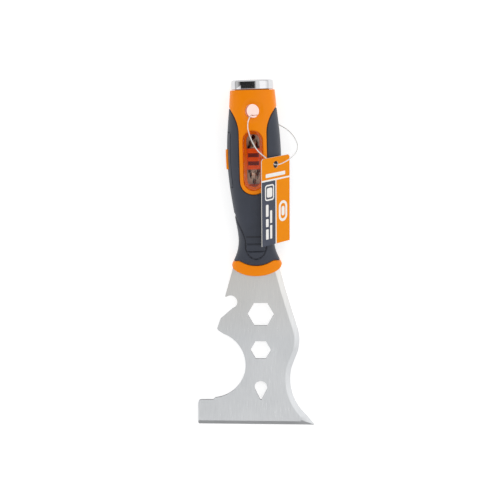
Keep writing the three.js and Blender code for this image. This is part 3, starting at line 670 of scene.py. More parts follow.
def section(angle, y, half, front, back):
    """Points of superellipses with a different depth in front and behind."""
    c, s = np.cos(angle), np.sin(angle)
    depth = np.where(s > 0, front, back)
    power = 2 / SQUARENESS
    x = half * np.sign(c) * np.abs(c) ** power
    z = depth * np.sign(s) * np.abs(s) ** power
    return np.stack([x, np.broadcast_to(y, x.shape), z], -1)


def on_handle(angle, y, inset):
    """Points of the handle's sections; angle 0 is the right side and 90 degrees is the front."""
    return section(angle, y, *(smoothed(keys, y) - inset for keys in (HALF_WIDTH, FRONT_DEPTH, BACK_DEPTH)))


def even_angles(count):
    """Angles that are evenly far apart along a section, the same above and below."""
    fine = np.linspace(0, math.pi, 2001)
    ring = on_handle(fine, np.full(fine.shape, 170.0), 0.0)
    run = np.concatenate([[0], np.cumsum(np.linalg.norm(np.diff(ring, axis=0), axis=1))])
    upper = np.interp(np.linspace(0, run[-1], count // 2 + 1), run, fine)
    upper[0], upper[-1] = 0.0, math.pi
    return np.concatenate([-upper[:0:-1], upper])


def flat_sheet(angles, rows):
    sheet = bmesh.new()
    grid = [[sheet.verts.new((a, y, 0)) for a in angles] for y in rows]
    for lower, upper in zip(grid, grid[1:]):
        for i in range(len(angles) - 1):
            sheet.faces.new((lower[i], upper[i], upper[i + 1], lower[i + 1]))
    return sheet


def points_of(made):
    return np.array([v.co for v in made.verts], float).reshape(-1, 3)


def cut_along(made, field, *levels):
    """Adds edges where a field of the vertex places crosses each level, by halving each crossed edge."""
    for level in levels:
        made.verts.index_update()
        place = points_of(made)
        value = field(place) - level
        value[np.abs(value) < 1e-6] = 0.0
        edges = list(made.edges)
        ends = np.array([[v.index for v in e.verts] for e in edges])
        crossed = np.nonzero(value[ends[:, 0]] * value[ends[:, 1]] < 0)[0]
        if not len(crossed):
            continue
        first, last = place[ends[crossed, 0]], place[ends[crossed, 1]]
        start_sign = np.sign(value[ends[crossed, 0]])
        low, high = np.zeros(len(crossed)), np.ones(len(crossed))
        for _ in range(26):
            middle = (low + high) / 2
            same = np.sign(field(first + (last - first) * middle[:, None]) - level) == start_sign
            low, high = np.where(same, middle, low), np.where(same, high, middle)
        made.verts.ensure_lookup_table()
        on_line = {made.verts[i] for i in np.nonzero(value == 0)[0]}
        for i, t, a, b in zip(crossed, low, first, last):
            edge = edges[i]
            _, vert = bmesh.utils.edge_split(edge, edge.verts[0], float(t))
            vert.co = a + (b - a) * t
            on_line.add(vert)
        for face in list(made.faces):
            found = [v for v in face.verts if v in on_line]
            if len(found) == 2 and not any(found[0] in e.verts and found[1] in e.verts for e in face.edges):
                bmesh.utils.face_split(face, *found)


def drop_outside(made, field):
    """Removes the faces whose middle has a negative field."""
    faces = list(made.faces)
    middles = np.array([f.calc_center_median() for f in faces], float)
    value = field(middles)
    bmesh.ops.delete(made, geom=[f for f, v in zip(faces, value) if v < 0], context="FACES")


def settle(made, inset):
    """Moves a flat sheet's vertices to the handle's skin, set in by a depth that depends on the place."""
    place = points_of(made)
    spots = on_handle(place[:, 0], place[:, 1], inset(place))
    for vert, spot in zip(made.verts, spots):
        vert.co = spot


# ---- fields: how far a place on the handle is inside an outline, in millimetres ----


def base(place):
    """Handle coordinates of (angle, along) places on the handle's outer form."""
    return on_handle(place[:, 0], place[:, 1], np.zeros(len(place)))


def line_distance(points, line, closed=False):
    line = np.array(line, float)
    ends = np.roll(line, -1, axis=0) if closed else line[1:]
    starts = line if closed else line[:-1]
    along = ends - starts
    nearest = np.full(len(points), 1e9)
    for a, d in zip(starts, along):
        t = np.clip(((points - a) @ d) / (d @ d), 0, 1)
        nearest = np.minimum(nearest, np.hypot(*(points - a - t[:, None] * d).T))
    return nearest


def depth_inside(points, outline):
    """The distance to a closed outline, positive inside it."""
    x, y = points.T
    odd = np.zeros(len(points), bool)
    for (x0, y0), (x1, y1) in zip(outline, np.roll(np.array(outline, float), -1, axis=0)):
        if y0 != y1:
            odd ^= ((y0 > y) != (y1 > y)) & (x < (x1 - x0) * (y - y0) / (y1 - y0) + x0)
    return np.where(odd, 1, -1) * line_distance(points, outline, closed=True)


def bezier(p0, p1, p2, p3, steps=14):
    t = np.linspace(0, 1, steps + 1)[1:, None]
    p0, p1, p2, p3 = (np.array(p, float) for p in (p0, p1, p2, p3))
    curve = (1 - t) ** 3 * p0 + 3 * t * (1 - t) ** 2 * p1 + 3 * t * t * (1 - t) * p2 + t**3 * p3
    return [tuple(p) for p in curve]


def panel_outline():
    """A flared top across the whole handle, straight flanks and a round foot."""
    half, foot, shoulder, flare = (PANEL[k] for k in ("half", "foot", "shoulder", "flare"))
    left = [(-FAR, flare + 2), (-16, flare)]
    left += bezier((-16, flare), (-12.5, 199), (-half, 194), (-half, shoulder))
    left.append((-half, foot + 9))
    left += bezier((-half, foot + 9), (-half, foot + 3), (-5, foot), (0, foot))
    right = [(-x, y) for x, y in left[-2::-1]]
    return left + right + [(FAR, 240), (-FAR, 240)]


def mirrored(left):
    return [*left, *((-x, y) for x, y in left[-2::-1])]


def eased(points, per=6):
    """A smooth line through a few points."""
    points = np.array(points, float)
    run = np.concatenate([[0], np.cumsum(np.linalg.norm(np.diff(points, axis=0), axis=1))])
    at = np.linspace(0, run[-1], per * (len(points) - 1) + 1)
    return [tuple(p) for p in np.stack([smoothed(np.stack([run, points[:, k]], 1), at) for k in (0, 1)], 1)]


COLLAR_LINE = eased(mirrored([(-15.7, 105.9), (-11.3, 106.5), (-7.5, 104.9), (-3.6, 103.8), (0, 103.5)]))
COLLAR = [(-FAR, 85), (-FAR, 105.4), *COLLAR_LINE, (FAR, 105.4), (FAR, 85)]
SMILE = eased(mirrored([(-15.9, 103.4), (-14.7, 101.2), (-11.3, 99.2), (-5.9, 97.5), (0, 97.0)]))
PANEL_OUTLINE = panel_outline()
THUMB_OUTLINE = eased(mirrored(THUMB_LINE), 5)


def stadium(half, low, high, steps=24):
    """The outline of a slot with round ends, along the handle."""
    return [
        (half * math.cos(t), middle + half * math.sin(t))
        for middle, start in ((high - half, 0), (low + half, math.pi))
        for t in np.linspace(start, start + math.pi, steps + 1)
    ]


def stadium_depth(points, half, low, high):
    """The distance to a stadium's outline, positive inside it."""
    nearest = np.clip(points[:, 1], low + half, high - half)
    return half - np.hypot(points[:, 0], points[:, 1] - nearest)


def shown_core(place):
    """Positive where the orange core comes to the handle's surface."""
    flat = base(place)[:, :2]
    return np.maximum(depth_inside(flat, PANEL_OUTLINE), depth_inside(flat, COLLAR))


def above_smile(place):
    x, y, _ = base(place).T
    smile = np.array(SMILE)
    return y - np.interp(x, smile[:, 0], smile[:, 1])


def beyond_seat(place):
    """How far outside the window's seat a place on the front is; far away on the back."""
    spots = base(place)
    outside = -stadium_depth(spots[:, :2], LENS["half"] + GAP, LENS["low"] - GAP, LENS["high"] + GAP)
    return np.where(spots[:, 2] > 0, outside, FAR)


def from_hang_hole(place):
    x, y, _ = base(place).T
    return np.hypot(x, y - HANG_HOLE["y"])


def drawer_opening(place, grow):
    """Positive inside the drawer's opening in the left flank."""
    x, y, z = base(place).T
    low, high, floor, top = (DRAWER[k] for k in ("low", "high", "floor", "top"))
    inside_y = np.minimum(y - low + grow, high + grow - y)
    inside_z = np.minimum(z - floor + grow, top + grow - z)
    return np.where(x < 0, np.minimum(inside_y, inside_z), -FAR)


def quarter_round(depth, radius):
    """How far a rounded edge is set in, at a depth inside its outline."""
    short = np.clip(radius - depth, 0, radius)
    return radius - np.sqrt(radius**2 - short**2)


# ---- the handle's outer pieces ----


# The fineness of the sheets, and the places across a rounded edge where they get an edge of their own.
ROWS = np.linspace(HANDLE_LOW, HANDLE_TOP, 95)
COVER_ROWS = 40
FORM_ROWS = 60
ANGLES = even_angles(112)
STEPS = (0.06, 0.25, 0.55, 1.0)


def core_inset(place):
    """The core is full height where it shows, and lies under the grip elsewhere."""
    shown = shown_core(place)
    edges = quarter_round(shown, HARD_EDGE)
    edges = np.maximum(edges, quarter_round(above_smile(place), SOFT_EDGE))
    edges = np.maximum(edges, quarter_round(beyond_seat(place), SEAT_EDGE))
    edges = np.maximum(edges, quarter_round(HANDLE_TOP - place[:, 1], TOP_EDGE))
    rim = HANG_HOLE["rim"]
    reach = np.clip((rim - from_hang_hole(place)) / (rim - HANG_HOLE["r"]), 0, 1.2)
    edges = np.maximum(edges, HANG_HOLE["deep"] * reach**1.7)
    return np.where(shown > -0.01, edges, SKIN + GAP)


def close_ends(made):
    """Caps the core's flat top and bridges the front and back of its collar."""
    loop = [v for v in made.verts if v.is_boundary and v.co.y < HANDLE_LOW + 20]
    front = sorted((v for v in loop if v.co.z > -1e-5), key=lambda v: v.co.x)
    back = sorted((v for v in loop if v.co.z < 1e-5), key=lambda v: v.co.x)
    for i in range(len(front) - 1):
        corners = [front[i], front[i + 1], back[i + 1], back[i]]
        made.faces.new(list(dict.fromkeys(corners)))
    bmesh.ops.holes_fill(made, edges=[e for e in made.edges if e.is_boundary], sides=0)


def core_solid():
    top_rows = [HANDLE_TOP - TOP_EDGE, HANDLE_TOP - 0.15, HANDLE_TOP]
    made = flat_sheet(ANGLES, np.concatenate([ROWS[:-1], top_rows]))
    cut_along(made, above_smile, 0, *(SOFT_EDGE * s for s in STEPS))
    drop_outside(made, above_smile)
    cut_along(made, shown_core, -0.02, 0, *(HARD_EDGE * s for s in STEPS))
    cut_along(made, beyond_seat, 0.02, 0.1, 0.2, SEAT_EDGE)
    cut_along(made, from_hang_hole, *DISH_RINGS, HANG_HOLE["rim"])
    settle(made, core_inset)
    bmesh.ops.remove_doubles(made, verts=made.verts, dist=SAME)
    close_ends(made)
    return from_bmesh("core", made)


def form(inset, low=HANDLE_LOW, high=HANDLE_TOP):
    """The whole handle as a plain solid, set in by a depth."""
    rows = np.linspace(low, high, FORM_ROWS)
    turns = ANGLES[:-1]
    return tube([on_handle(turns, np.full(len(turns), y), inset) for y in rows])


def tang_outline(grow):
    half, fork, slot = TANG["half"] + grow, TANG["fork"] + grow, TANG["slot"] - grow
    hole, top = HANG_HOLE["r"] + HANG_HOLE["tang_gap"] - grow, TANG["top"] + grow
    rise = HANG_HOLE["y"] + (math.sqrt(hole**2 - slot**2) if hole > slot else 0.5)
    right = [(half, TANG["foot"]), (half, TANG["neck"]), (fork, TANG["split"])]
    right += [(fork, top), (slot, top), (slot, rise)]
    return right + [(-x, y) for x, y in right[::-1]]


def rivet_parts(y, grow):
    """The room that a rivet's stem and its two heads need."""
    depths = (FRONT_DEPTH, BACK_DEPTH)
    front, back = (float(smoothed(depth, y)) - SKIN - GAP - RIVET["sunk"] for depth in depths)
    stem, head, thick = RIVET["r"] + grow, RIVET["head"] + grow, RIVET["thick"] + grow
    return [
        post(0, y, stem, stem, -back, front, FEW_SIDES),
        post(0, y, head, head, front - thick - grow, front + 3, FEW_SIDES),
        post(0, y, head, head, -back - 3, -back + thick + grow, FEW_SIDES),
    ]


def core_hollows():
    """The room inside both shells for the tang, the boss, the socket, the rivets and the hanging hole."""
    z = PLATE + GAP
    half, depth, low = BOSS["half"] + GAP, BOSS["depth"] + GAP, BOSS["low"] - GAP
    bore = SOCKET["outer"] + GAP
    hollows = [
        drilled(0, HANG_HOLE["y"], HANG_HOLE["r"], SIDES),
        prism(tang_outline(GAP), -z, z),
        prism(NECK, -z, z),
        box(-half, half, low, OPEN_TOP, -depth, depth),
        bar(0, 0, bore, bore, SOCKET["low"] - GAP, OPEN_TOP),
    ]
    return hollows + [part for y in RIVET["places"] for part in rivet_parts(y, GAP)]


def drawer_channel():
    """The room for the drawer, its stop lugs and its spring."""
    low, high, floor, top, tail = (DRAWER[k] for k in ("low", "high", "floor", "top", "tail"))
    start, end, out = PLATE_X + LUG_ROOM["start"], tail + GAP + 0.1, LUG_ROOM["out"]
    spring = SPRING_ROOM
    return [
        box(-FAR, end, low - GAP, high + GAP, floor - GAP, top + GAP),
        box(start, end, low - out, high + out, floor - GAP, LUG_ROOM["top"]),
        box(tail, spring["end"], spring["low"], spring["high"], floor, spring["top"]),
    ]


def window_room():
    """A seat for the lens, a throat over the bits and a funnel between them."""
    seat = prism(stadium(LENS["half"] + GAP, LENS["low"] - GAP, LENS["high"] + GAP), 0, FAR)
    seat = combine(seat, "DIFFERENCE", form(LENS["thick"] + LENS["sunk"] + GAP))
    narrow = stadium(APERTURE["half"], APERTURE["low"], APERTURE["high"])
    throat = prism(narrow, DRAWER["top"], FAR)
    wide = stadium(LENS["half"] - 0.5, LENS["low"] + 0.5, LENS["high"] - 0.5)
    levels = ((narrow, APERTURE["lip"]), (wide, LENS["funnel"]), (wide, LENS["funnel"] + 3))
    funnel = tube([[(x, y, z) for x, y in ring] for ring, z in levels])
    return [seat, throat, funnel]


def core_shells(material):
    core = combine(core_solid(), "DIFFERENCE", *core_hollows())
    back = link("core_back", core.data.copy())
    front = combine(core, "INTERSECT", box(-FAR, FAR, 80, 240, GAP / 2, FAR))
    front = combine(front, "DIFFERENCE", *drawer_channel(), *window_room())
    front.name = "core_front"
    back = combine(back, "INTERSECT", box(-FAR, FAR, 80, 240, -FAR, -GAP / 2))
    set_down(front, HANDLE, "tool_body", [material], ["core_front_shell"])
    set_down(back, HANDLE, "tool_body", [material], ["core_back_shell"])


def skin_shell(name, made, inset, depth):
    """A closed shell from a cut sheet: the outer face is shaped by inset, the inner one lies at a depth."""
    place = points_of(made)
    outer = on_handle(place[:, 0], place[:, 1], inset(place))
    inner = on_handle(place[:, 0], place[:, 1], np.full(len(place), depth))
    made.verts.index_update()
    top = [tuple(v.index for v in f.verts) for f in made.faces]
    count = len(place)
    rim = [tuple(v.index for v in e.verts) for e in made.edges if e.is_boundary and not on_seam(place, e)]
    faces = top + [tuple(i + count for i in f[::-1]) for f in top]
    faces += [(b, a, a + count, b + count) for a, b in rim]
    made.free()
    whole = to_bmesh(np.concatenate([outer, inner]), faces)
    bmesh.ops.remove_doubles(whole, verts=whole.verts, dist=SAME)
    loose = [v for v in whole.verts if not v.link_faces]
    bmesh.ops.delete(whole, geom=loose, context="VERTS")
    return from_bmesh(name, whole)


def on_seam(place, edge):
    """True for an edge where a sheet that goes all the way round meets itself."""
    return all(abs(abs(place[v.index, 0]) - math.pi) < 1e-7 for v in edge.verts)


def grip_room(place):
    """Positive where the grip covers the handle."""
    return np.minimum(-shown_core(place) - GAP, -drawer_opening(place, GAP))


def from_pressed_lines(flat):
    """The distance to the pressed line and bars on the front and the back of the grip."""
    nearest = line_distance(flat, THUMB_OUTLINE)
    for y in THUMB_BARS:
        nearest = np.minimum(nearest, line_distance(flat, [(-GROOVE["reach"], y), (GROOVE["reach"], y)]))
    return nearest


def groove_distance(place):
    return from_pressed_lines(base(place)[:, :2])


def grip_inset(place):
    groove = np.clip(groove_distance(place) / GROOVE["half"], 0, 1)
    pressed = GROOVE["deep"] * (1 - groove**2) ** 1.5
    beside_core = quarter_round(-shown_core(place) - GAP, SOFT_EDGE)
    beside_drawer = quarter_round(-drawer_opening(place, GAP), DRAWER_EDGE)
    return np.maximum(np.maximum(beside_core, beside_drawer), pressed)


def cover_sheet(angles, rows, room, levels):
    """The part of a flat sheet where room is positive, with edges along its levels."""
    made = flat_sheet(angles, rows)
    cut_along(made, room, 0)
    drop_outside(made, room)
    cut_along(made, room, *levels)
    return made


def grip(material, pressed):
    levels = (DRAWER_EDGE / 2, DRAWER_EDGE, *(SOFT_EDGE * s for s in STEPS[1:]))
    made = cover_sheet(ANGLES, ROWS, grip_room, levels)
    cut_along(made, groove_distance, *(GROOVE["half"] * s for s in GROOVE_RINGS))
    piece = skin_shell("grip", made, grip_inset, SKIN)
    set_down(piece, HANDLE, "tool_body", [material, pressed], ["grip_overmould"])
    # The faces in the pressed lines get the darker second rubber, which is painted shade.
    back = HANDLE.inverted()
    middles = np.array([back @ polygon.center for polygon in piece.data.polygons], float)
    for polygon, distance in zip(piece.data.polygons, from_pressed_lines(middles[:, :2])):
        polygon.material_index = int(distance < GROOVE["dark"])


def lens_room(place):
    spots = base(place)
    inside = stadium_depth(spots[:, :2], LENS["half"], LENS["low"], LENS["high"])
    return np.where(spots[:, 2] > 0, inside, -FAR)


def lens_inset(place):
    return LENS["sunk"] + quarter_round(lens_room(place), LENS_EDGE)


def window(material):
    angles = ANGLES[(ANGLES > 0.5) & (ANGLES < math.pi - 0.5)]
    rows = np.linspace(LENS["low"] - 1, LENS["high"] + 1, COVER_ROWS)
    made = cover_sheet(angles, rows, lens_room, [LENS_EDGE * s for s in STEPS])
    piece = skin_shell("window", made, lens_inset, LENS["sunk"] + LENS["thick"])
    set_down(piece, HANDLE, "tool_body", [material], ["window_lens"])


def pad_room(place):
    """Positive where the grey pad covers the drawer's face."""
    x, y, z = base(place).T
    tab_y = np.minimum(y - TAB["low"], TAB["high"] - y) + GAP
    tab_z = np.minimum(z - TAB["floor"], TAB["top"] - z) + GAP
    return np.minimum(drawer_opening(place, 0), -np.minimum(tab_y, tab_z))


def pad_inset(place):
    return quarter_round(pad_room(place), DRAWER_EDGE)


def drawer_pad(material):
    rows = np.linspace(DRAWER["low"] - 1, DRAWER["high"] + 1, COVER_ROWS)
    made = cover_sheet(ANGLES[ANGLES > math.pi / 2], rows, pad_room, [DRAWER_EDGE * s for s in STEPS])
    piece = skin_shell("drawer_pad", made, pad_inset, SKIN - GAP)
    set_down(piece, HANDLE, "drawer", [material], ["drawer_face_pad"])


# ---- the drawer and the bits ----


def hex_radius(flats):
    return flats / math.sqrt(3)


def drawer(material, slot_shade, tab_material):
    low, high, floor, top, tail, wall = (DRAWER[k] for k in ("low", "high", "floor", "top", "tail", "wall"))
    body = box(-FAR, PLATE_X + wall, low, high, floor, top)
    rails = [box(PLATE_X, tail, y, y + wall, floor, RAILS["top"]) for y in (low, high - wall)]
    out = RAILS["lug_out"]
    lugs = box(tail - RAILS["lug_long"], tail, low - out, high + out, floor, RAILS["lug"])
    end = box(tail - wall, tail, low, high, floor, RAILS["end"])
    block = box(PLATE_X, BLOCK["right"], BLOCK["low"], BLOCK["high"], floor, top)
    body = combine(body, "UNION", *rails, lugs, end, block)
    body = combine(body, "INTERSECT", form(SKIN))
    tab = box(-FAR, PLATE_X + wall, TAB["low"], TAB["high"], TAB["floor"], TAB["top"])
    body = combine(body, "UNION", combine(tab, "INTERSECT", form(-TAB["proud"])))
    r = hex_radius(BIT_FLATS + 2 * GAP)
    bores = [bar(x, BIT_Z, r, r, *BORE_ENDS, 6) for x in BIT_PLACES]
    reach, half, deep = SLOTS["reach"], SLOTS["half"], SLOTS["deep"]
    slots = [box(-reach, reach, y - half, y + half, top - deep, top + 1) for y in SLOTS["places"]]
    body = combine(body, "DIFFERENCE", *bores, *slots)
    piece = rounded(body, 0.18)
    piece.name = "drawer"
    set_down(piece, HANDLE, "drawer", [material, slot_shade, tab_material], ["bit_drawer"])
    paint_drawer(piece)


def paint_drawer(piece):
    """The floors of the slots get painted shade, and the thumb tab matches the handle's orange."""
    back = HANDLE.inverted()
    floor = DRAWER["top"] - SLOTS["deep"]
    for polygon in piece.data.polygons:
        spot = back @ polygon.center
        in_slot = any(abs(spot.y - y) < SLOTS["half"] for y in SLOTS["places"])
        # Painted shade goes on the slot floors.
        if in_slot and abs(spot.x) < SLOTS["reach"] and abs(spot.z - floor) < 0.12:
            polygon.material_index = 1
        elif spot.x < -DRAWER["flank"]:
            polygon.material_index = 2


def refined(node, name, body, material, width=0.15):
    """A CAD node's own shape with its edges broken, for small hard parts."""
    piece = link(name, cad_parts[node].data.copy())
    whole = bmesh.new()
    whole.from_mesh(piece.data)
    bmesh.ops.scale(whole, vec=(1000, 1000, 1000), verts=whole.verts)
    bmesh.ops.remove_doubles(whole, verts=whole.verts, dist=1e-3)
    whole.to_mesh(piece.data)
    whole.free()
    normals = piece.data.attributes.get("custom_normal")
    if normals:
        piece.data.attributes.remove(normals)
    rounded(piece, width, 2, 30)
    set_down(piece, Matrix.Scale(0.001, 4), body, [material], [node])


# ---- the cap ----


def cap(material):
    steps, start, reach, below = (CAP_CROWN[k] for k in ("steps", "inset", "reach", "below"))
    sections = [(CAP["base"] + up, inset) for up, inset in CAP_FOOT]
    sections.append((CAP["top"] - CAP["rim"] - below, 0.0))
    for i in range(steps + 1):
        turn = math.pi / 2 * i / steps
        along = CAP["top"] - CAP["rim"] * (1 - math.sin(turn))
        sections.append((along, start + reach * (1 - math.cos(turn))))
    head = tube([cap_ring(y, inset) for y, inset in sections])
    half, depth = BOSS["half"], BOSS["depth"]
    body = combine(head, "UNION", box(-half, half, BOSS["low"], CAP["base"] + 0.8, -depth, depth))
    bore = SOCKET["outer"] + GAP
    inner, outer, top = SOCKET["outer"] - 1, TANG["fork"] + GAP, TANG["top"] + GAP
    z = PLATE + GAP
    cutters = [bar(0, 0, bore, bore, 200, OPEN_TOP)]
    cutters += [bar(0, 0, bore, bore + 0.5, CAP["top"] - 0.4, CAP["top"] + 0.1)]
    cutters += [box(*sorted((s * inner, s * outer)), 200, top, -z, z) for s in (-1, 1)]
    cutters += pin_holes()
    piece = combine(body, "DIFFERENCE", *cutters)
    piece.name = "cap"
    set_down(piece, HANDLE, "tool_body", [material], ["hammer_cap"])


def cap_ring(y, inset):
    return section(ANGLES[:-1], y, *(CAP[k] - inset for k in ("half", "front", "back")))


def pin_holes():
    """Room for the pins through the cap's boss and the tang's fork."""
    return [drilled(s * CAP_PIN["x"], CAP_PIN["y"], CAP_PIN["r"] + GAP) for s in (-1, 1)]


# ---- the blade ----


def arc(center, radius, start, end, step=3.0):
    count = max(2, int(abs(end - start) / step))
    turns = [math.radians(start + (end - start) * i / count) for i in range(count + 1)]
    return [(center[0] + radius * math.cos(t), center[1] + radius * math.sin(t)) for t in turns]


def hollow_curve(p0, p1, p2, steps=8):
    t = np.linspace(0, 1, steps + 1)[1:, None]
    p0, p1, p2 = (np.array(p, float) for p in (p0, p1, p2))
    return [tuple(p) for p in (1 - t) ** 2 * p0 + 2 * t * (1 - t) * p1 + t * t * p2]


def right_side():
    """The blade's bevelled side, from the toe up into the collar."""
    side = [(TOE_X, 0), (32.4, 5.7), *arc(WAIST[:2], WAIST[2], -131.5, -194)]
    side += hollow_curve(side[-1], (24.4, 43), (26.5, 48.3))
    return side + [*arc(BULGE[:2], BULGE[2], -14, 19), (22.9, 73), (18.8, 86.2), (14.8, 100.8)]


def left_side():
    """The hook, the roller arc and the wing, from the collar down to the scraper edge."""
    side = [(-15.0, 100.8), (-19.9, 83.2), (-19.7, 82.4), *arc(HOOK[:2], HOOK[2], 105, -72, 8)]
    side += [(-23.0, 68.5), (-25.2, 62.3), (-24.6, 61.2), *arc(ROLLER[:2], ROLLER[2], 70, -84)]
    side += [(-28, WING_TOP), (BLADE_LEFT + 2.4, WING_TOP)]
    side += hollow_curve(side[-1], (BLADE_LEFT, WING_TOP), (BLADE_LEFT, WING_TOP - 2.6), 5)
    return side + [(BLADE_LEFT, 0.6), (BLADE_LEFT + 0.6, 0)]


def nail_slot_outline():
    tip = [(HOLE_X - 0.5, NAIL_SLOT["tip"]), (HOLE_X + 0.5, NAIL_SLOT["tip"])]
    return arc((HOLE_X, NAIL_SLOT["y"]), NAIL_SLOT["r"], -28, 208, 8) + tip


def stamped_plate(outlines, half, edge=0.12):
    """A flat plate with holes, whose edges are lightly rounded."""
    curve = bpy.data.curves.new("plate", "CURVE")
    curve.dimensions = "2D"
    curve.fill_mode = "BOTH"
    curve.extrude = half - edge
    curve.bevel_depth = edge
    curve.bevel_resolution = 1
    curve.offset = -edge
    for outline in outlines:
        add_line(curve, [(x, y, 0) for x, y in outline], closed=True)
    piece = link("plate", curve)
    graph = bpy.context.evaluated_depsgraph_get()
    mesh = bpy.data.meshes.new_from_object(piece.evaluated_get(graph))
    bpy.data.objects.remove(piece)
    made = bmesh.new()
    made.from_mesh(mesh)
    bpy.data.meshes.remove(mesh)
    bmesh.ops.remove_doubles(made, verts=made.verts, dist=SAME)
    return made


def from_edges(place):
    """Distances to the ground side and to the scraper edge, as shares of their bevels' widths."""
    side = line_distance(place[:, :2], right_side()) / SIDE_BEVEL
    return side, np.abs(place[:, 1]) / FRONT_BEVEL


def bevel_share(place):
    return np.minimum(*from_edges(place))


def bevel_mitre(place):
    side, front = from_edges(place)
    return side - front


def grind(made):
    """Thins the plate along its right side and its scraper edge."""
    for y in range(4, 104, 4):
        bisect(made, (0, y, 0), (0, 1, 0))
    for x in range(-36, 38, 4):
        bisect(made, (x, 0, 0), (1, 0, 0))
    cut_along(made, bevel_share, 1.0)
    cut_along(made, bevel_mitre, 0.0)
    thin = EDGE_HALF + (PLATE - EDGE_HALF) * np.clip(bevel_share(points_of(made)), 0, 1)
    for vert, limit in zip(made.verts, thin):
        vert.co.z = max(-limit, min(limit, vert.co.z))


def bisect(made, place, normal):
    geometry = [*made.verts, *made.edges, *made.faces]
    bmesh.ops.bisect_plane(made, geom=geometry, plane_co=place, plane_no=normal)


def blade(material, edge_material):
    """The plate and its tang; their stamped edges are darker than the brushed faces."""
    holes = [[(HOLE_X + a, y + b) for a, b in circle(hex_radius(flats), 6)] for y, flats in HEX_HOLES]
    made = stamped_plate([left_side() + right_side(), *holes, nail_slot_outline()], PLATE)
    grind(made)
    plate = from_bmesh("blade_plate", made)
    tang = prism(tang_outline(0), -PLATE, PLATE)
    rivet_holes = [drilled(0, y, RIVET["r"] + GAP) for y in RIVET["places"]]
    hanging = drilled(0, HANG_HOLE["y"], HANG_HOLE["r"] + HANG_HOLE["tang_gap"], SIDES)
    combine(tang, "DIFFERENCE", *rivet_holes, *pin_holes(), hanging)
    tang.data.transform(TOOL.inverted() @ HANDLE)
    combine(plate, "UNION", tang)
    set_down(plate, TOOL, "tool_body", [material, edge_material], ["blade"], smooth=10)
    front = TOOL.to_3x3().normalized() @ Vector((0, 0, 1))
    for polygon in plate.data.polygons:
        polygon.material_index = 1 if abs(polygon.normal.dot(front)) < 0.3 else 0


# ---- the tag, its loop and its lock ----


def tag_loop(material):
    """A thin nylon loop through the hanging hole and the tag's hole, closed by its lock."""
    curve = bpy.data.curves.new("tag_loop", "CURVE")
    curve.dimensions = "3D"
    curve.bevel_depth = STRING_RADIUS / 1000
    curve.bevel_resolution = 4
    curve.use_fill_caps = True
    line = [RESTING @ Vector(p) for p in loop_line()]
    add_line(curve, line)
    curve.materials.append(material)
    loop = link("tag_loop", curve)
    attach(loop, "tool_body")
    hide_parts("tag_string")
    return loop, line


def loop_line(per=8):
    """Points of a centripetal curve through the route."""
    route = [Vector(p) for p in STRING_ROUTE]
    route = [2 * route[0] - route[1], *route, 2 * route[-1] - route[-2]]
    line = []
    for p0, p1, p2, p3 in zip(route, route[1:], route[2:], route[3:]):
        t1 = math.sqrt((p1 - p0).length)
        t2 = t1 + math.sqrt((p2 - p1).length)
        t3 = t2 + math.sqrt((p3 - p2).length)
        for i in range(per):
            t = t1 + (t2 - t1) * i / per
            a1 = p0.lerp(p1, t / t1)
            a2 = p1.lerp(p2, (t - t1) / (t2 - t1))
            a3 = p2.lerp(p3, (t - t2) / (t3 - t2))
            b1 = a1.lerp(a2, t / t2)
            b2 = a2.lerp(a3, (t - t1) / (t3 - t1))
            line.append(b1.lerp(b2, (t - t1) / (t2 - t1)))
    return line + [route[-2]]


def lock(material):
    """A small bullet with a shoulder at each end."""
    start, end = Vector(LOCK["start"]), Vector(LOCK["end"])
    along = end - start
    long, r = along.length, LOCK["r"]
    profile = [(0.45, 0), (0.6, 0.06), (0.68, 0.2), (r - 0.05, 0.85), (r, 1.05)]
    profile += [(r, long - 1.75), (r - 0.06, long - 1.5)]
    profile += [(0.78, long - 0.3), (0.7, long - 0.08), (0.55, long)]
    rings = [[(a, b, run) for a, b in circle(radius, 40)] for radius, run in profile]
    piece = tube(rings)
    piece.name = "loop_lock"
    turn = along.to_track_quat("Z", "Y").to_matrix().to_4x4()
    matrix = RESTING @ Matrix.Translation(start) @ turn
    return set_down(piece, matrix, "tool_body", [material], ["string_lock"])


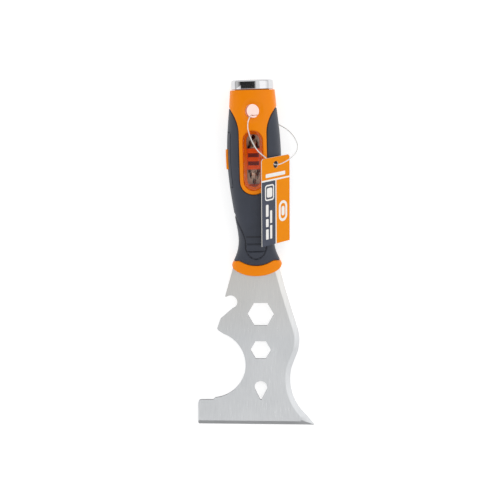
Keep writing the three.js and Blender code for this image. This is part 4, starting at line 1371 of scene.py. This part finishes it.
def tag(printed, core):
    wide, long, corner, half = TAG["wide"], TAG["long"], TAG["corner"], TAG["thick"] / 2
    outline = [(corner, 0), (0, -corner), (0, -long), (wide, -long), (wide, -corner), (wide - corner, 0)]
    hole = [(TAG_HOLE["across"] + a, -TAG_HOLE["down"] + b) for a, b in circle(TAG_HOLE["r"], 40)]
    made = stamped_plate([outline, hole], half, 0.04)
    piece = from_bmesh("tag", made)
    layer = piece.data.uv_layers.new(name="card")
    for polygon in piece.data.polygons:
        for i in polygon.loop_indices:
            x, y, _ = piece.data.vertices[piece.data.loops[i].vertex_index].co
            layer.data[i].uv = (x / wide, -y / long)
    matrix = RESTING @ Matrix.Translation(TAG_CORNER) @ TAG_TURN
    set_down(piece, matrix, "tag", [printed, core], ["swing_tag"])
    front = matrix.to_3x3() @ Vector((0, 0, 1))
    for polygon in piece.data.polygons:
        polygon.material_index = 0 if polygon.normal.dot(front.normalized()) > 0.9 else 1
    return piece


def dress_hidden(metal):
    """CAD parts that stay as they are get the finish of the real ones."""
    for node in HIDDEN:
        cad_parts[node].material_slots[0].material = metal


def build():
    make_camera()
    nylon = clear_nylon()
    loop, line = tag_loop(nylon)
    loop_lock = lock(nylon)
    swing_tag = tag(printed_card(), card_core())
    orange = orange_plastic("orange_plastic_skin", srgb(255, 147, 0), srgb(253, 137, 0))
    red_orange = orange_plastic("drawer_plastic", srgb(250, 112, 22), srgb(238, 94, 14))
    rubber = soft_grip("soft_grip_rubber", srgb(36, 42, 56), srgb(52, 57, 70), srgb(78, 82, 93))
    bit_steel = plain_metal("bit_steel", srgb(92, 88, 86), srgb(214, 212, 208), 0.14, 0.3, 420)
    bright_steel = plain_metal("bright_steel", srgb(190, 190, 192), srgb(214, 214, 216), 0.2, 0.32)
    blade(brushed_blade(), plain_metal("stamped_edge", srgb(84, 84, 86), srgb(120, 120, 122), 0.4, 0.55))
    core_shells(orange)
    # The second rubber is a darker copy of the grip's: painted shade in the pressed lines.
    grip(rubber, soft_grip("groove_shade_rubber", srgb(22, 26, 38), srgb(30, 35, 47), srgb(44, 48, 60)))
    window(clear_window())
    drawer(red_orange, slot_shade_paint(), orange)
    drawer_pad(rubber)
    refined("bit_phillips", "bit_cross", "drawer", bit_steel)
    refined("bit_slotted", "bit_flat", "drawer", bit_steel)
    refined("bit_socket", "socket", "tool_body", bit_steel, 0.2)
    cap(polished_chrome())
    dress_hidden(bright_steel)
    make_floor()
    light_scene()


build()
